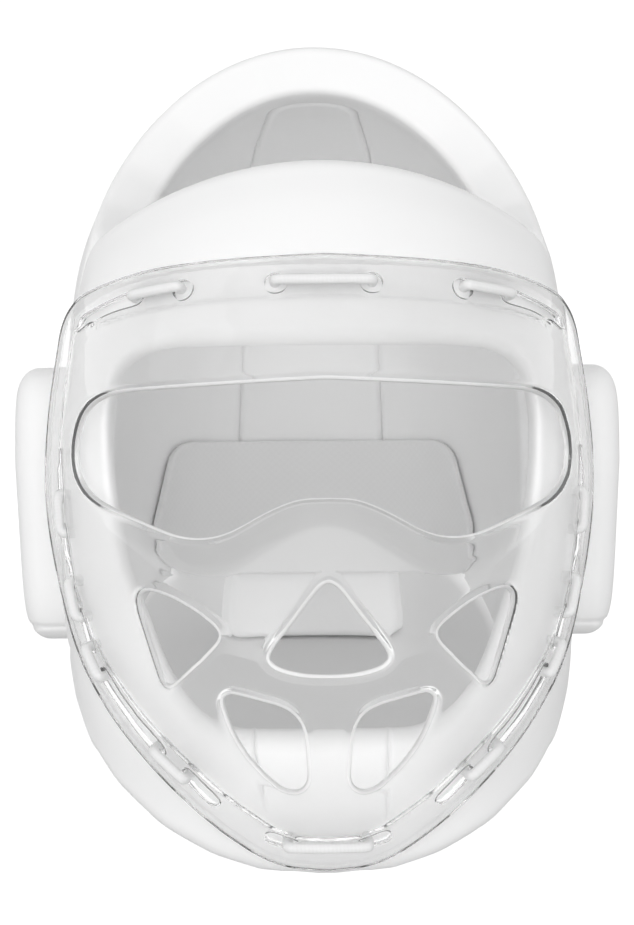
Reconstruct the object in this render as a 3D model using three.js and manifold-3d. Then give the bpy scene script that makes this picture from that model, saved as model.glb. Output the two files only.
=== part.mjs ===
// Youth head guard for karate: a dipped-foam shell with an open crown, ear pads, a rear tongue
// and strap, and a clear moulded face mask that is laced on around its rim.
//
// Millimetres. The guard is modelled as it sits on a head: X to the right seen from the front,
// Y to the rear, Z up, with the origin between the ears. It is then tipped back until its chin
// and the foot of its tongue stand on the ground.

import * as THREE from "three";
import { mergeVertices } from "three/addons/utils/BufferGeometryUtils.js";
import loadManifold from "manifold-3d";

const wasm = await loadManifold();
wasm.setup();

// Clearances
const SEAT_GAP = 0.3; // between two pieces that touch
const SEAM_GAP = 0.4; // between the front shell and the crown
const SLIT_GAP = 1.4; // between the tongue and the crown
const FAR = 300; // reach of a cutting prism
const CORNER_STEPS = 3; // straight pieces of a rounded corner
const HALVINGS = 40; // steps of a search by halving
const SLOPE_STEP = 0.02; // step over which a surface's slope is taken

// Ground, as the guard stands by itself
const REST_TILT = THREE.MathUtils.degToRad(17.06);
const CHIN_REST = { y: -95, z: -131.5 }; // a point of the ground line under the chin

// Foam shell: outer sections below the dome
const SHELL_CENTRE_Y = 5;
const SHELL_SECTIONS = [
  { z: -145, half: 79, front: 98, rear: 104, power: 2.7 },
  { z: -122, half: 83, front: 106, rear: 106, power: 2.75 },
  { z: -100, half: 86.5, front: 109, rear: 108, power: 2.8 },
  { z: -80, half: 88.5, front: 110, rear: 109, power: 2.8 },
  { z: -60, half: 90, front: 110, rear: 110, power: 2.8 },
  { z: -30, half: 91.6, front: 109.5, rear: 111, power: 2.8 },
  { z: 0, half: 92, front: 109, rear: 112, power: 2.7 },
  { z: 20, half: 91, front: 109, rear: 112, power: 2.6 },
  { z: 40, half: 89, front: 109, rear: 112, power: 2.5 },
];
const DOME_BASE = 40; // height where the dome springs
const DOME_RISE = 114; // from there to the top of the crown
const DOME_TOP_POWER = 2.05; // the sections turn nearly elliptical at the top
const DOME_ROUNDING = 1.6; // how soon they do so on the way up
const DOME_STEPS = 7;
const DOME_CAP = 0.8; // height of the last ring between the one below it and the top
const RING_SIDES = 40;

const FRONT_WALL = 15;
const CROWN_STEP = 0.8; // the crown lies this far inside the brow band
const CROWN_WALL = 18;

// Brow band: its top edge falls away to both sides
const BROW_TOP = 101;
const BROW_FALL = 0.0036; // drop of the edge for each square millimetre off the middle
const BROW_HALF = 92;
const BROW_STEPS = 20;

// Seam of front shell and crown, seen from the side; its upper part is the rim of the crown
const SEAM = [
  { y: 10, z: 170 },
  { y: 6, z: 152 },
  { y: 1, z: 130 },
  { y: -7, z: 110 },
  { y: -18, z: 94 },
  { y: -33, z: 80 },
  { y: -35, z: 66 },
  { y: -30, z: 40 },
  { y: -20, z: 0 },
  { y: -6, z: -40 },
  { y: 10, z: -90 },
];

// Face opening in the front shell, and the lower edge of the jaw, both as half outlines
const FACE_OPENING = [
  { x: 0, z: 37.5, r: 0 },
  { x: 70.5, z: 37.5, r: 25 },
  { x: 69, z: -18, r: 40 },
  { x: 49, z: -71, r: 14 },
  { x: 33.5, z: -85.3, r: 10 },
  { x: 0, z: -85.3, r: 0 },
];
const JAW_EDGE = [
  { x: 96, z: -66 },
  { x: 89.4, z: -67 },
  { x: 87, z: -80 },
  { x: 81, z: -94 },
  { x: 70.6, z: -106.5 },
  { x: 55.3, z: -118.8 },
  { x: 37.4, z: -127.6 },
  { x: 22, z: -132.4 },
  { x: 0, z: -134.5 },
];

// The same edge seen from the side, which trims the inside of the cheeks
const JAW_SIDE = [
  { y: 40, z: -67 },
  { y: 5, z: -69 },
  { y: -22, z: -74 },
  { y: -46, z: -87 },
  { y: -66, z: -104 },
  { y: -82, z: -121 },
  { y: -96, z: -142 },
];

// Back of the crown: tongue, slits, notches and the lower edge of the wings
const TONGUE_TOP_Y = 23; // its top edge, just behind the rim of the crown
const TONGUE = [
  { x: 17, z: 160 },
  { x: 17, z: 134 },
  { x: 28.5, z: 117 },
  { x: 32.5, z: 26 },
  { x: 33, z: -12 },
  { x: 38, z: -90 },
];
const NOTCH_TOP = -14;
const NOTCH_HALF = 57;
const WING_EDGE = [
  { y: -40, z: -67 },
  { y: 48, z: -66 },
  { y: 68, z: -55 },
  { y: 95, z: -42 },
];

// Rear strap, flat against the inside of the wings and the tongue
const STRAP = { top: 9, bottom: -45, topHalf: 58, bottomHalf: 65, corner: 9, thick: 3.5 };

// Ear pads: a rounded oblong seen from the side, drawn in towards its outer face
const EAR_PAD = { y: 9, z: -14.5, halfLength: 38, halfHeight: 49.5, power: 4.2, root: 78, lean: 0.055 };
const EAR_PAD_RINGS = [
  { x: 99.5, inset: 0 },
  { x: 103.5, inset: 1.4 },
  { x: 106, inset: 4 },
  { x: 107.8, inset: 9 },
  { x: 108.8, inset: 18 },
];
const EAR_PAD_SIDES = 28;

// Face mask: rows of its surface from the top down. `bulge` is how far the middle of the row
// stands off the foam; the row marked ledge follows the lower edge of the eye slot.
const MASK_THICK = 2.2;
const MASK_GAP = 0.6;
const MASK_SIDE_Y = -44; // the side edges end here
const MASK_FLARE = { from: 65, to: 71, out: 2.6 }; // the rim turns out at the sides, by angle
const MASK_ANGLES = [0, 8, 16, 24, 32, 40, 48, 56.5, 65, 72.5]; // columns on one side
const MASK_ROWS = [
  { z: 74, bulge: 0 },
  { z: 60, bulge: 0.5 },
  { z: 48, bulge: 3.5 },
  { z: 36, bulge: 7.5 },
  { z: 26, bulge: 10 },
  { z: 8, bulge: 12 },
  { ledge: 0, bulge: 13 },
  { ledge: -8.5, bulge: 14, step: 10 },
  { z: -46, bulge: 17, step: 9 },
  { z: -58, bulge: 18, step: 8 },
  { z: -70, bulge: 18, step: 6.5 },
  { z: -84, bulge: 17, step: 4.5 },
  { z: -98, bulge: 15, step: 2.5 },
  { z: -110, bulge: 11, step: 1 },
  { z: -120, bulge: 6 },
  { z: -129, bulge: 1 },
  { z: -140, bulge: 0 },
];
// Ledge: a wave with its crest at the nose bridge, which fades out towards the sides
const LEDGE = { bridge: -11.5, dip: 14.5, wave: 74, full: 52, gone: 76 };
// Outer edge of the mask, as a half outline
const MASK_OUTLINE = [
  { x: 0, z: 66, r: 0 },
  { x: 48, z: 63.5, r: 60 },
  { x: 84, z: 53, r: 16 },
  { x: 96, z: 26, r: 20 },
  { x: 96, z: -14, r: 30 },
  { x: 84.5, z: -62, r: 40 },
  { x: 68, z: -85, r: 40 },
  { x: 40, z: -112, r: 30 },
  { x: 16, z: -128.5, r: 14 },
  { x: 0, z: -129, r: 0 },
];
// Half width over which the mask's surface falls back to the foam, by height
const MASK_REACH = [
  { z: 66, half: 60 },
  { z: 53, half: 86 },
  { z: 28, half: 95 },
  { z: -10, half: 95 },
  { z: -62, half: 84.5 },
  { z: -85, half: 68 },
  { z: -112, half: 40 },
  { z: -129, half: 14 },
];

// Openings in the mask: half outlines across the middle, and whole outlines that are mirrored
const EYE_SLOT = [
  { x: 0, z: 26, r: 0 },
  { x: 75.2, z: 22.5, r: 14 },
  { x: 82.3, z: 6, r: 12 },
  { x: 78, z: -9.5, r: 10 },
  { x: 38, z: -26.5, r: 14 },
  { x: 12, z: -11.3, r: 16 },
  { x: 0, z: -11, r: 0 },
];
const NOSE_HOLE = [
  { x: 0, z: -35.5, r: 0 },
  { x: 2.5, z: -36.5, r: 2 },
  { x: 20.5, z: -61, r: 5 },
  { x: 10, z: -65, r: 9 },
  { x: 0, z: -65.3, r: 0 },
];
const CHEEK_HOLE = [
  { x: 60.5, z: -39.8, r: 6 },
  { x: 46, z: -43, r: 14 },
  { x: 31.5, z: -53.8, r: 5 },
  { x: 42, z: -64, r: 14 },
  { x: 50, z: -72, r: 4 },
];
const MOUTH_HOLE = [
  { x: 33.8, z: -69.5, r: 6 },
  { x: 8, z: -76, r: 9 },
  { x: 6.2, z: -100.5, r: 6 },
  { x: 13, z: -102, r: 5 },
  { x: 27.5, z: -88, r: 14 },
];

// Slots and holes of the mask's rim on one side, from end to end
const SLOT_CUT = 9; // reach of a slot's cutter on each side of the mask
const RIM_SLOTS = [
  { x1: 15, z1: 56.3, x2: 15.2, z2: 56.3, wide: 7.4 },
  { x1: 44.2, z1: 55.2, x2: 44.4, z2: 55.2, wide: 7.4 },
  { x1: 58.5, z1: 53.4, x2: 79, z2: 46, wide: 5 },
  { x1: 87.4, z1: 3, x2: 86.4, z2: -11, wide: 4.8 },
  { x1: 85.4, z1: -22, x2: 82.2, z2: -39.5, wide: 4.8 },
  { x1: 79.6, z1: -49.5, x2: 76, z2: -60, wide: 4.8 },
  { x1: 72, z1: -68, x2: 53, z2: -91, wide: 4.8 },
  { x1: 44.5, z1: -98, x2: 36, z2: -106.5, wide: 4.8 },
  { x1: 18, z1: -119.6, x2: 12, z2: -121.4, wide: 5.4 },
];

// Laces: where they pass through the rim and the foam on one side, from the middle outwards.
// Each crosses the middle in front of the mask, then runs inside and outside by turns, and its
// ends stay in the foam.
const LACE_RADIUS = 1.7;
const LACE_SIDES = 6;
const LACE_LIFT = 0.6; // clear of what it lies on
const LACE_BEND = 2.2; // corner where it turns into a pass
const LACE_BEND_SHARE = 0.45; // and at most this share of the stretch beside it
const LACE_STRAIGHT = 0.4; // a turn under this many radians needs no corner
const LACE_BORE = 2.8;
const LACE_BORE_SIDES = 6;
const LACE_STRIDE = 0.25; // step of the way in through the foam
const LACE_END = 0.55; // share of the way through the foam where a lace ends
const TOP_LACE = [
  { x: 15.1, z: 56.3 },
  { x: 44.3, z: 55.2 },
  { x: 59, z: 53.2 },
];
const LOWER_LACE = [
  { x: 12.4, z: -121.3 },
  { x: 43.9, z: -98.6 },
  { x: 53.6, z: -90.2 },
  { x: 71.4, z: -68.8 },
  { x: 76.2, z: -59.4 },
  { x: 79.3, z: -50.3 },
  { x: 82.4, z: -38.6 },
  { x: 85.2, z: -23 },
  { x: 86.5, z: -10 },
];

const FOAM_WHITE = 0xf1f1f0;
const STRAP_WHITE = 0xe9e9e8;
const LACE_WHITE = 0xf6f6f4;
const MASK_CLEAR = 0xeef2f3;

// Solids and cuts

/** Closed three.js geometry as a solid for joining and cutting. */
function toSolid(geometry) {
  const bare = geometry.clone();
  for (const name of Object.keys(bare.attributes)) {
    if (name !== "position") bare.deleteAttribute(name);
  }
  const merged = mergeVertices(bare, 1e-4);
  return new wasm.Manifold(
    new wasm.Mesh({
      numProp: 3,
      vertProperties: new Float32Array(merged.attributes.position.array),
      triVerts: new Uint32Array(merged.index.array),
    }),
  );
}

/** Solid as three.js geometry. */
function toGeometry(body) {
  const mesh = body.getMesh();
  const geometry = new THREE.BufferGeometry();
  geometry.setAttribute("position", new THREE.BufferAttribute(mesh.vertProperties, 3));
  geometry.setIndex(new THREE.BufferAttribute(mesh.triVerts, 1));
  geometry.computeVertexNormals();
  return geometry;
}

/** Outline with each corner rounded by a curve that starts `r` before it. */
function roundedShape(corners) {
  const count = corners.length;
  const points = corners.map((corner) => new THREE.Vector2(corner.x, corner.z));
  const shape = new THREE.Shape();
  points.forEach((point, i) => {
    const before = points[(i + count - 1) % count];
    const after = points[(i + 1) % count];
    const reachIn = Math.min(corners[i].r, point.distanceTo(before) / 2);
    const reachOut = Math.min(corners[i].r, point.distanceTo(after) / 2);
    const start = before.clone().sub(point).setLength(reachIn).add(point);
    const end = after.clone().sub(point).setLength(reachOut).add(point);
    if (i === 0) shape.moveTo(start.x, start.y);
    else shape.lineTo(start.x, start.y);
    if (reachIn > 0) shape.quadraticCurveTo(point.x, point.y, end.x, end.y);
  });
  shape.closePath();
  return shape;
}

/** Whole outline from a half outline that starts and ends on the middle line. */
function mirrored(half) {
  const other = half
    .slice(1, -1)
    .reverse()
    .map((corner) => ({ ...corner, x: -corner.x }));
  return [...half, ...other];
}

/** The same outline on the other side of the middle line. */
function flipped(outline, side) {
  return outline.map((corner) => ({ ...corner, x: side * corner.x }));
}

/** Prism of a front-view outline (x, z), from one depth to another. */
function frontPrism(shape, fromY, toY, curveSegments = CORNER_STEPS) {
  const prism = new THREE.ExtrudeGeometry(shape, { depth: toY - fromY, bevelEnabled: false, curveSegments });
  prism.rotateX(Math.PI / 2);
  return toSolid(prism.translate(0, toY, 0));
}

/** Prism of a side-view outline of (y, z) points, across the whole width. */
function sidePrism(points) {
  const shape = new THREE.Shape(points.map((point) => new THREE.Vector2(point.y, point.z)));
  const prism = new THREE.ExtrudeGeometry(shape, { depth: 2 * FAR, bevelEnabled: false });
  prism.translate(0, 0, -FAR);
  prism.rotateZ(Math.PI / 2).rotateY(Math.PI / 2);
  return toSolid(prism);
}

/** Geometry from a grid of points; each row is a closed ring, and both ends are capped. */
function ringLoft(rings) {
  const sides = rings[0].length;
  const positions = [];
  const index = [];
  for (const ring of rings) {
    for (const point of ring) positions.push(point.x, point.y, point.z);
  }
  for (let row = 0; row + 1 < rings.length; row++) {
    for (let side = 0; side < sides; side++) {
      const next = (side + 1) % sides;
      const [a, b] = [row * sides + side, row * sides + next];
      const [c, d] = [a + sides, b + sides];
      index.push(a, b, d, a, d, c);
    }
  }
  for (const [row, turn] of [[0, -1], [rings.length - 1, 1]]) {
    const middle = new THREE.Vector3();
    for (const point of rings[row]) middle.addScaledVector(point, 1 / sides);
    const hub = positions.length / 3;
    positions.push(middle.x, middle.y, middle.z);
    for (let side = 0; side < sides; side++) {
      const a = row * sides + side;
      const b = row * sides + ((side + 1) % sides);
      if (turn > 0) index.push(a, b, hub);
      else index.push(b, a, hub);
    }
  }
  return indexed(positions, index);
}

/** Geometry of a plate between an outer and an inner grid of points with the same rows. */
function plate(outer, inner) {
  const rows = outer.length;
  const columns = outer[0].length;
  const size = rows * columns;
  const positions = [];
  const index = [];
  for (const grid of [outer, inner]) {
    for (const row of grid) {
      for (const point of row) positions.push(point.x, point.y, point.z);
    }
  }
  const quad = (a, b, c, d) => index.push(a, b, c, a, c, d);
  const at = (row, column) => row * columns + column;
  for (let row = 0; row + 1 < rows; row++) {
    for (let column = 0; column + 1 < columns; column++) {
      const corners = [at(row, column), at(row + 1, column), at(row + 1, column + 1), at(row, column + 1)];
      quad(...corners);
      quad(...corners.map((corner) => corner + size).reverse());
    }
  }
  const wall = (a, b) => quad(a, b, b + size, a + size);
  for (let column = 0; column + 1 < columns; column++) {
    wall(at(0, column), at(0, column + 1));
    wall(at(rows - 1, column + 1), at(rows - 1, column));
  }
  for (let row = 0; row + 1 < rows; row++) {
    wall(at(row + 1, 0), at(row, 0));
    wall(at(row, columns - 1), at(row + 1, columns - 1));
  }
  return indexed(positions, index);
}

/** Geometry from a list of coordinates and a list of corners. */
function indexed(positions, index) {
  const geometry = new THREE.BufferGeometry();
  geometry.setAttribute("position", new THREE.Float32BufferAttribute(positions, 3));
  geometry.setIndex(index);
  return geometry;
}

// Foam shell

/** Value of a named column at a height, straight between the rows of a table. */
function columnAt(table, z, name) {
  const rows = [...table].sort((a, b) => a.z - b.z);
  if (z <= rows[0].z) return rows[0][name];
  const upper = rows.findIndex((row) => row.z >= z);
  if (upper < 0) return rows[rows.length - 1][name];
  const [low, high] = [rows[upper - 1], rows[upper]];
  return THREE.MathUtils.mapLinear(z, low.z, high.z, low[name], high[name]);
}

/** Half width, depths and squareness of the shell at a height, `inset` below its outer face. */
function shellSection(z, inset) {
  const low = Math.min(z, DOME_BASE);
  const rise = (z - low) / (DOME_RISE - inset);
  const shrink = Math.sqrt(Math.max(0, 1 - rise * rise));
  const power = columnAt(SHELL_SECTIONS, low, "power");
  return {
    half: (columnAt(SHELL_SECTIONS, low, "half") - inset) * shrink,
    front: (columnAt(SHELL_SECTIONS, low, "front") - inset) * shrink,
    rear: (columnAt(SHELL_SECTIONS, low, "rear") - inset) * shrink,
    power: THREE.MathUtils.lerp(power, DOME_TOP_POWER, Math.min(1, DOME_ROUNDING * rise)),
  };
}

/** Point of a section: a superellipse, with angle 0 at the front and positive to the right. */
function shellPoint(z, angle, inset) {
  const section = shellSection(z, inset);
  const bend = 2 / section.power;
  const [sine, cosine] = [Math.sin(angle), Math.cos(angle)];
  const depth = cosine > 0 ? section.front : section.rear;
  return new THREE.Vector3(
    section.half * Math.sign(sine) * Math.abs(sine) ** bend,
    SHELL_CENTRE_Y - depth * Math.sign(cosine) * Math.abs(cosine) ** bend,
    z,
  );
}

/** The whole shell as one filled body, `inset` below its outer face. */
function shellBody(inset) {
  const heights = SHELL_SECTIONS.map((row) => row.z);
  for (let step = 1; step < DOME_STEPS; step++) {
    heights.push(DOME_BASE + (DOME_RISE - inset) * Math.sin((step / DOME_STEPS) * (Math.PI / 2)));
  }
  const top = DOME_BASE + DOME_RISE - inset;
  heights.push(THREE.MathUtils.lerp(heights[heights.length - 1], top, DOME_CAP));
  const rings = heights.map((z) => {
    const ring = [];
    for (let side = 0; side < RING_SIDES; side++) {
      ring.push(shellPoint(z, (side / RING_SIDES) * 2 * Math.PI, inset));
    }
    return ring;
  });
  return toSolid(ringLoft(rings));
}

/** Everything below the ground that the guard stands on. */
function groundBody() {
  const ground = new THREE.BoxGeometry(2 * FAR, 2 * FAR, FAR).translate(0, 0, -FAR / 2);
  ground.rotateX(REST_TILT).translate(0, CHIN_REST.y, CHIN_REST.z);
  return toSolid(ground);
}

/** Everything in front of the seam, moved back by `shift`. */
function frontOfSeam(shift) {
  const line = SEAM.map((point) => ({ y: point.y + shift, z: point.z }));
  const [top, bottom] = [line[0], line[line.length - 1]];
  return sidePrism([
    { y: top.y, z: FAR },
    ...line,
    { y: bottom.y, z: -FAR },
    { y: -FAR, z: -FAR },
    { y: -FAR, z: FAR },
  ]);
}

/** Everything under the falling top edge of the brow band and above the jaw's lower edge. */
function browToJaw() {
  const shape = new THREE.Shape();
  const browSide = BROW_TOP - BROW_FALL * BROW_HALF ** 2;
  shape.moveTo(-BROW_HALF, browSide);
  shape.quadraticCurveTo(0, 2 * BROW_TOP - browSide, BROW_HALF, browSide);
  shape.lineTo(JAW_EDGE[0].x, browSide);
  for (const point of JAW_EDGE) shape.lineTo(point.x, point.z);
  for (const point of JAW_EDGE.slice(0, -1).reverse()) shape.lineTo(-point.x, point.z);
  shape.lineTo(-JAW_EDGE[0].x, browSide);
  return frontPrism(shape, -FAR, FAR, BROW_STEPS);
}

/** Rear outline of the tongue, grown at its sides and at its top. */
function tonguePrism(growSides, growTop) {
  const half = TONGUE.map((row) => new THREE.Vector2(row.x + growSides, row.z));
  const shape = new THREE.Shape([...half, ...half.map((p) => new THREE.Vector2(-p.x, p.y)).reverse()]);
  return frontPrism(shape, TONGUE_TOP_Y - growTop, FAR);
}

/** The space above the lower edge of the wings. */
function aboveWings() {
  return sidePrism([
    ...WING_EDGE,
    { y: FAR, z: WING_EDGE[WING_EDGE.length - 1].z },
    { y: FAR, z: FAR },
    { y: WING_EDGE[0].y, z: FAR },
  ]);
}

/** The space above the jaw's edge seen from the side. */
function aboveJaw() {
  return sidePrism([
    ...JAW_SIDE,
    { y: -FAR, z: JAW_SIDE[JAW_SIDE.length - 1].z },
    { y: -FAR, z: FAR },
    { y: JAW_SIDE[0].y, z: FAR },
  ]);
}

function makeFrontShell(bores) {
  const face = frontPrism(roundedShape(mirrored(FACE_OPENING)), -FAR, 0);
  const wall = shellBody(0).subtract(shellBody(FRONT_WALL));
  const cut = wall.intersect(frontOfSeam(-SEAM_GAP)).intersect(browToJaw()).intersect(aboveJaw());
  const open = cut.subtract(face).subtract(groundBody());
  return bores.reduce((body, bore) => body.subtract(bore), open);
}

function crownWall() {
  return shellBody(CROWN_STEP).subtract(shellBody(CROWN_STEP + CROWN_WALL));
}

function makeCrownShell() {
  const notch = new THREE.Shape([
    new THREE.Vector2(-NOTCH_HALF, NOTCH_TOP),
    new THREE.Vector2(-NOTCH_HALF, -FAR),
    new THREE.Vector2(NOTCH_HALF, -FAR),
    new THREE.Vector2(NOTCH_HALF, NOTCH_TOP),
  ]);
  return crownWall()
    .subtract(frontOfSeam(0))
    .intersect(aboveWings())
    .subtract(tonguePrism(SLIT_GAP, SEAT_GAP))
    .subtract(frontPrism(notch, SHELL_CENTRE_Y, FAR));
}

function makeTongue() {
  return crownWall().intersect(tonguePrism(0, 0)).subtract(groundBody());
}

function makeStrap() {
  const inner = CROWN_STEP + CROWN_WALL + SEAT_GAP;
  const outline = roundedShape([
    { x: STRAP.topHalf, z: STRAP.top, r: STRAP.corner },
    { x: STRAP.bottomHalf, z: STRAP.bottom, r: STRAP.corner },
    { x: -STRAP.bottomHalf, z: STRAP.bottom, r: STRAP.corner },
    { x: -STRAP.topHalf, z: STRAP.top, r: STRAP.corner },
  ]);
  const band = shellBody(inner).subtract(shellBody(inner + STRAP.thick));
  return band.intersect(frontPrism(outline, SHELL_CENTRE_Y, FAR));
}

/** Ear pad: oblong rings from inside the shell out to the face, less the shell itself. */
function makeEarPad(side) {
  const rings = [{ x: EAR_PAD.root, inset: 0 }, ...EAR_PAD_RINGS].map((row, i) => {
    const ring = [];
    for (let step = 0; step < EAR_PAD_SIDES; step++) {
      const angle = side * (step / EAR_PAD_SIDES) * 2 * Math.PI;
      const bend = 2 / EAR_PAD.power;
      const along = Math.sign(Math.cos(angle)) * Math.abs(Math.cos(angle)) ** bend;
      const up = Math.sign(Math.sin(angle)) * Math.abs(Math.sin(angle)) ** bend;
      const z = EAR_PAD.z + (EAR_PAD.halfHeight - row.inset) * up;
      const lean = i === 0 ? 0 : EAR_PAD.lean * Math.min(0, z);
      const y = EAR_PAD.y + (EAR_PAD.halfLength - row.inset) * along;
      ring.push(new THREE.Vector3(side * (row.x + lean), y, z));
    }
    return ring;
  });
  return toSolid(ringLoft(rings)).subtract(shellBody(-SEAT_GAP));
}

// Face mask

/** Line of the ledge under the eye slot at a distance from the middle. */
function ledgeLine(x) {
  const wave = Math.sin((Math.PI * Math.min(Math.abs(x), LEDGE.wave)) / LEDGE.wave);
  return LEDGE.bridge - LEDGE.dip * wave * wave;
}

/** Point of the mask's middle surface: the foam's face, moved forward inside the rim. */
function maskPoint(row, angle) {
  const guess = shellPoint(0, angle, 0).x;
  const z = row.ledge === undefined ? row.z : ledgeLine(guess) + row.ledge;
  const point = shellPoint(z, angle, 0);
  const turn = THREE.MathUtils.radToDeg(Math.abs(angle));
  const flare = THREE.MathUtils.mapLinear(turn, MASK_FLARE.from, MASK_FLARE.to, 0, MASK_FLARE.out);
  point.x += Math.sign(angle) * Math.max(0, flare);
  const across = Math.abs(point.x) / columnAt(MASK_REACH, z, "half");
  const inside = Math.max(0, 1 - across * across);
  const ledge = 1 - THREE.MathUtils.smoothstep(Math.abs(point.x), LEDGE.full, LEDGE.gone);
  point.y -= (row.bulge + (row.step ?? 0) * ledge) * inside;
  return point;
}

/** Row of the mask at any place between its listed rows. */
function maskRowPoint(place, angle) {
  const low = Math.min(Math.floor(place), MASK_ROWS.length - 2);
  const above = maskPoint(MASK_ROWS[low], angle);
  return above.lerp(maskPoint(MASK_ROWS[low + 1], angle), place - low);
}

/** Outward normal of the mask's surface. */
function maskNormal(place, angle) {
  const last = MASK_ROWS.length - 1;
  const across = maskRowPoint(place, angle + SLOPE_STEP).sub(maskRowPoint(place, angle - SLOPE_STEP));
  const up = maskRowPoint(Math.max(0, place - SLOPE_STEP), angle);
  up.sub(maskRowPoint(Math.min(last, place + SLOPE_STEP), angle));
  return across.cross(up).normalize();
}

function maskGrid(offset) {
  return MASK_ROWS.map((_, place) => {
    const right = MASK_ANGLES.slice(1);
    return [...right.map((degrees) => -degrees).reverse(), ...MASK_ANGLES].map((degrees) => {
      const angle = THREE.MathUtils.degToRad(degrees);
      const normal = maskNormal(place, angle);
      return maskRowPoint(place, angle).addScaledVector(normal, offset);
    });
  });
}

/** Value between `low` and `high` where a falling function reaches zero. */
function whereZero(falling, low, high) {
  for (let halving = 0; halving < HALVINGS; halving++) {
    const middle = (low + high) / 2;
    if (falling(middle) > 0) low = middle;
    else high = middle;
  }
  return low;
}

/** Place on the mask's surface that shows at (x, z) from the front, with its normal. */
function onMask(x, z) {
  const rowAt = (angle) => whereZero((place) => maskRowPoint(place, angle).z - z, 0, MASK_ROWS.length - 1);
  const miss = (turn) => Math.abs(x) - maskRowPoint(rowAt(turn), turn).x;
  const angle = Math.sign(x) * whereZero(miss, 0, Math.PI / 2);
  const place = rowAt(angle);
  return { point: maskRowPoint(place, angle), normal: maskNormal(place, angle) };
}

/** Cutter for a slot of the rim: an oblong with round ends, along the surface's normal. */
function rimSlot(slot, side) {
  const first = onMask(side * slot.x1, slot.z1);
  const last = onMask(side * slot.x2, slot.z2);
  const along = last.point.clone().sub(first.point);
  const length = along.length();
  const normal = first.normal.clone().add(last.normal).normalize();
  along.normalize();
  const across = normal.clone().cross(along).normalize();
  const r = slot.wide / 2;
  const shape = new THREE.Shape();
  shape.absarc(0, 0, r, Math.PI / 2, 1.5 * Math.PI);
  shape.absarc(length, 0, r, 1.5 * Math.PI, 2.5 * Math.PI);
  const cutter = new THREE.ExtrudeGeometry(shape, {
    depth: 2 * SLOT_CUT,
    bevelEnabled: false,
    curveSegments: CORNER_STEPS,
  });
  cutter.translate(0, 0, -SLOT_CUT);
  cutter.applyMatrix4(new THREE.Matrix4().makeBasis(along, across, normal).setPosition(first.point));
  return toSolid(cutter);
}

function makeMask() {
  const sheet = toSolid(plate(maskGrid(MASK_GAP + MASK_THICK), maskGrid(MASK_GAP)));
  const outline = frontPrism(roundedShape(mirrored(MASK_OUTLINE)), -FAR, MASK_SIDE_Y);
  const holes = [frontPrism(roundedShape(mirrored(EYE_SLOT)), -FAR, 0)];
  holes.push(frontPrism(roundedShape(mirrored(NOSE_HOLE)), -FAR, 0));
  for (const side of [-1, 1]) {
    holes.push(frontPrism(roundedShape(flipped(CHEEK_HOLE, side)), -FAR, 0));
    holes.push(frontPrism(roundedShape(flipped(MOUTH_HOLE, side)), -FAR, 0));
    holes.push(...RIM_SLOTS.map((slot) => rimSlot(slot, side)));
  }
  return holes.reduce((body, hole) => body.subtract(hole), sheet.intersect(outline));
}

// Laces

/** Ends of one pass of the lace: in front of the mask, and inside the foam. */
function lacePass(x, z) {
  const { point, normal } = onMask(x, z);
  const front = point.clone().addScaledVector(normal, MASK_GAP + MASK_THICK + LACE_LIFT + LACE_RADIUS);
  const back = point.clone();
  const clear = FRONT_WALL + LACE_LIFT + LACE_RADIUS;
  const farthest = 3 * FRONT_WALL;
  for (let walk = 0; walk < farthest; walk += LACE_STRIDE) {
    const section = shellSection(back.z, clear);
    const across = Math.abs(back.x / section.half) ** section.power;
    const along = Math.abs((back.y - SHELL_CENTRE_Y) / section.front) ** section.power;
    if (across + along < 1) break;
    back.addScaledVector(normal, -LACE_STRIDE);
  }
  return { x, z, front, back };
}

/** A lace's passes from its end on the left, across the middle, to its end on the right. */
function lacePasses(rows) {
  const right = rows.map((row) => lacePass(row.x, row.z));
  const left = rows.map((row) => lacePass(-row.x, row.z));
  const passes = [...left.reverse(), ...right];
  for (const end of [passes[0], passes[passes.length - 1]]) {
    end.back.lerpVectors(end.front, end.back, LACE_END);
    end.blind = true;
  }
  return passes;
}

/** Bore through the foam for one pass; where the lace ends, it stops just past the end. */
function laceBore(pass) {
  const axis = pass.front.clone().sub(pass.back).normalize();
  const outer = pass.front.clone().addScaledVector(axis, 2 * LACE_RADIUS);
  const inner = pass.back.clone().addScaledVector(axis, pass.blind ? -SEAT_GAP : -2 * LACE_RADIUS);
  const bore = new THREE.CylinderGeometry(LACE_BORE, LACE_BORE, outer.distanceTo(inner), LACE_BORE_SIDES);
  const middle = outer.add(inner).multiplyScalar(0.5);
  bore.applyQuaternion(new THREE.Quaternion().setFromUnitVectors(new THREE.Vector3(0, 1, 0), axis));
  return toSolid(bore.translate(middle.x, middle.y, middle.z));
}

/** Corner points of a lace's route, with a point on each front stretch that follows the mask. */
function laceRoute(passes) {
  const route = [];
  passes.forEach((pass, i) => {
    const comesOut = i % 2 === 0;
    route.push(...(comesOut ? [pass.back, pass.front] : [pass.front, pass.back]));
    if (comesOut) {
      const next = passes[i + 1];
      const { point, normal } = onMask((pass.x + next.x) / 2, (pass.z + next.z) / 2);
      route.push(point.addScaledVector(normal, MASK_GAP + MASK_THICK + LACE_LIFT + LACE_RADIUS));
    }
  });
  return route;
}

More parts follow.
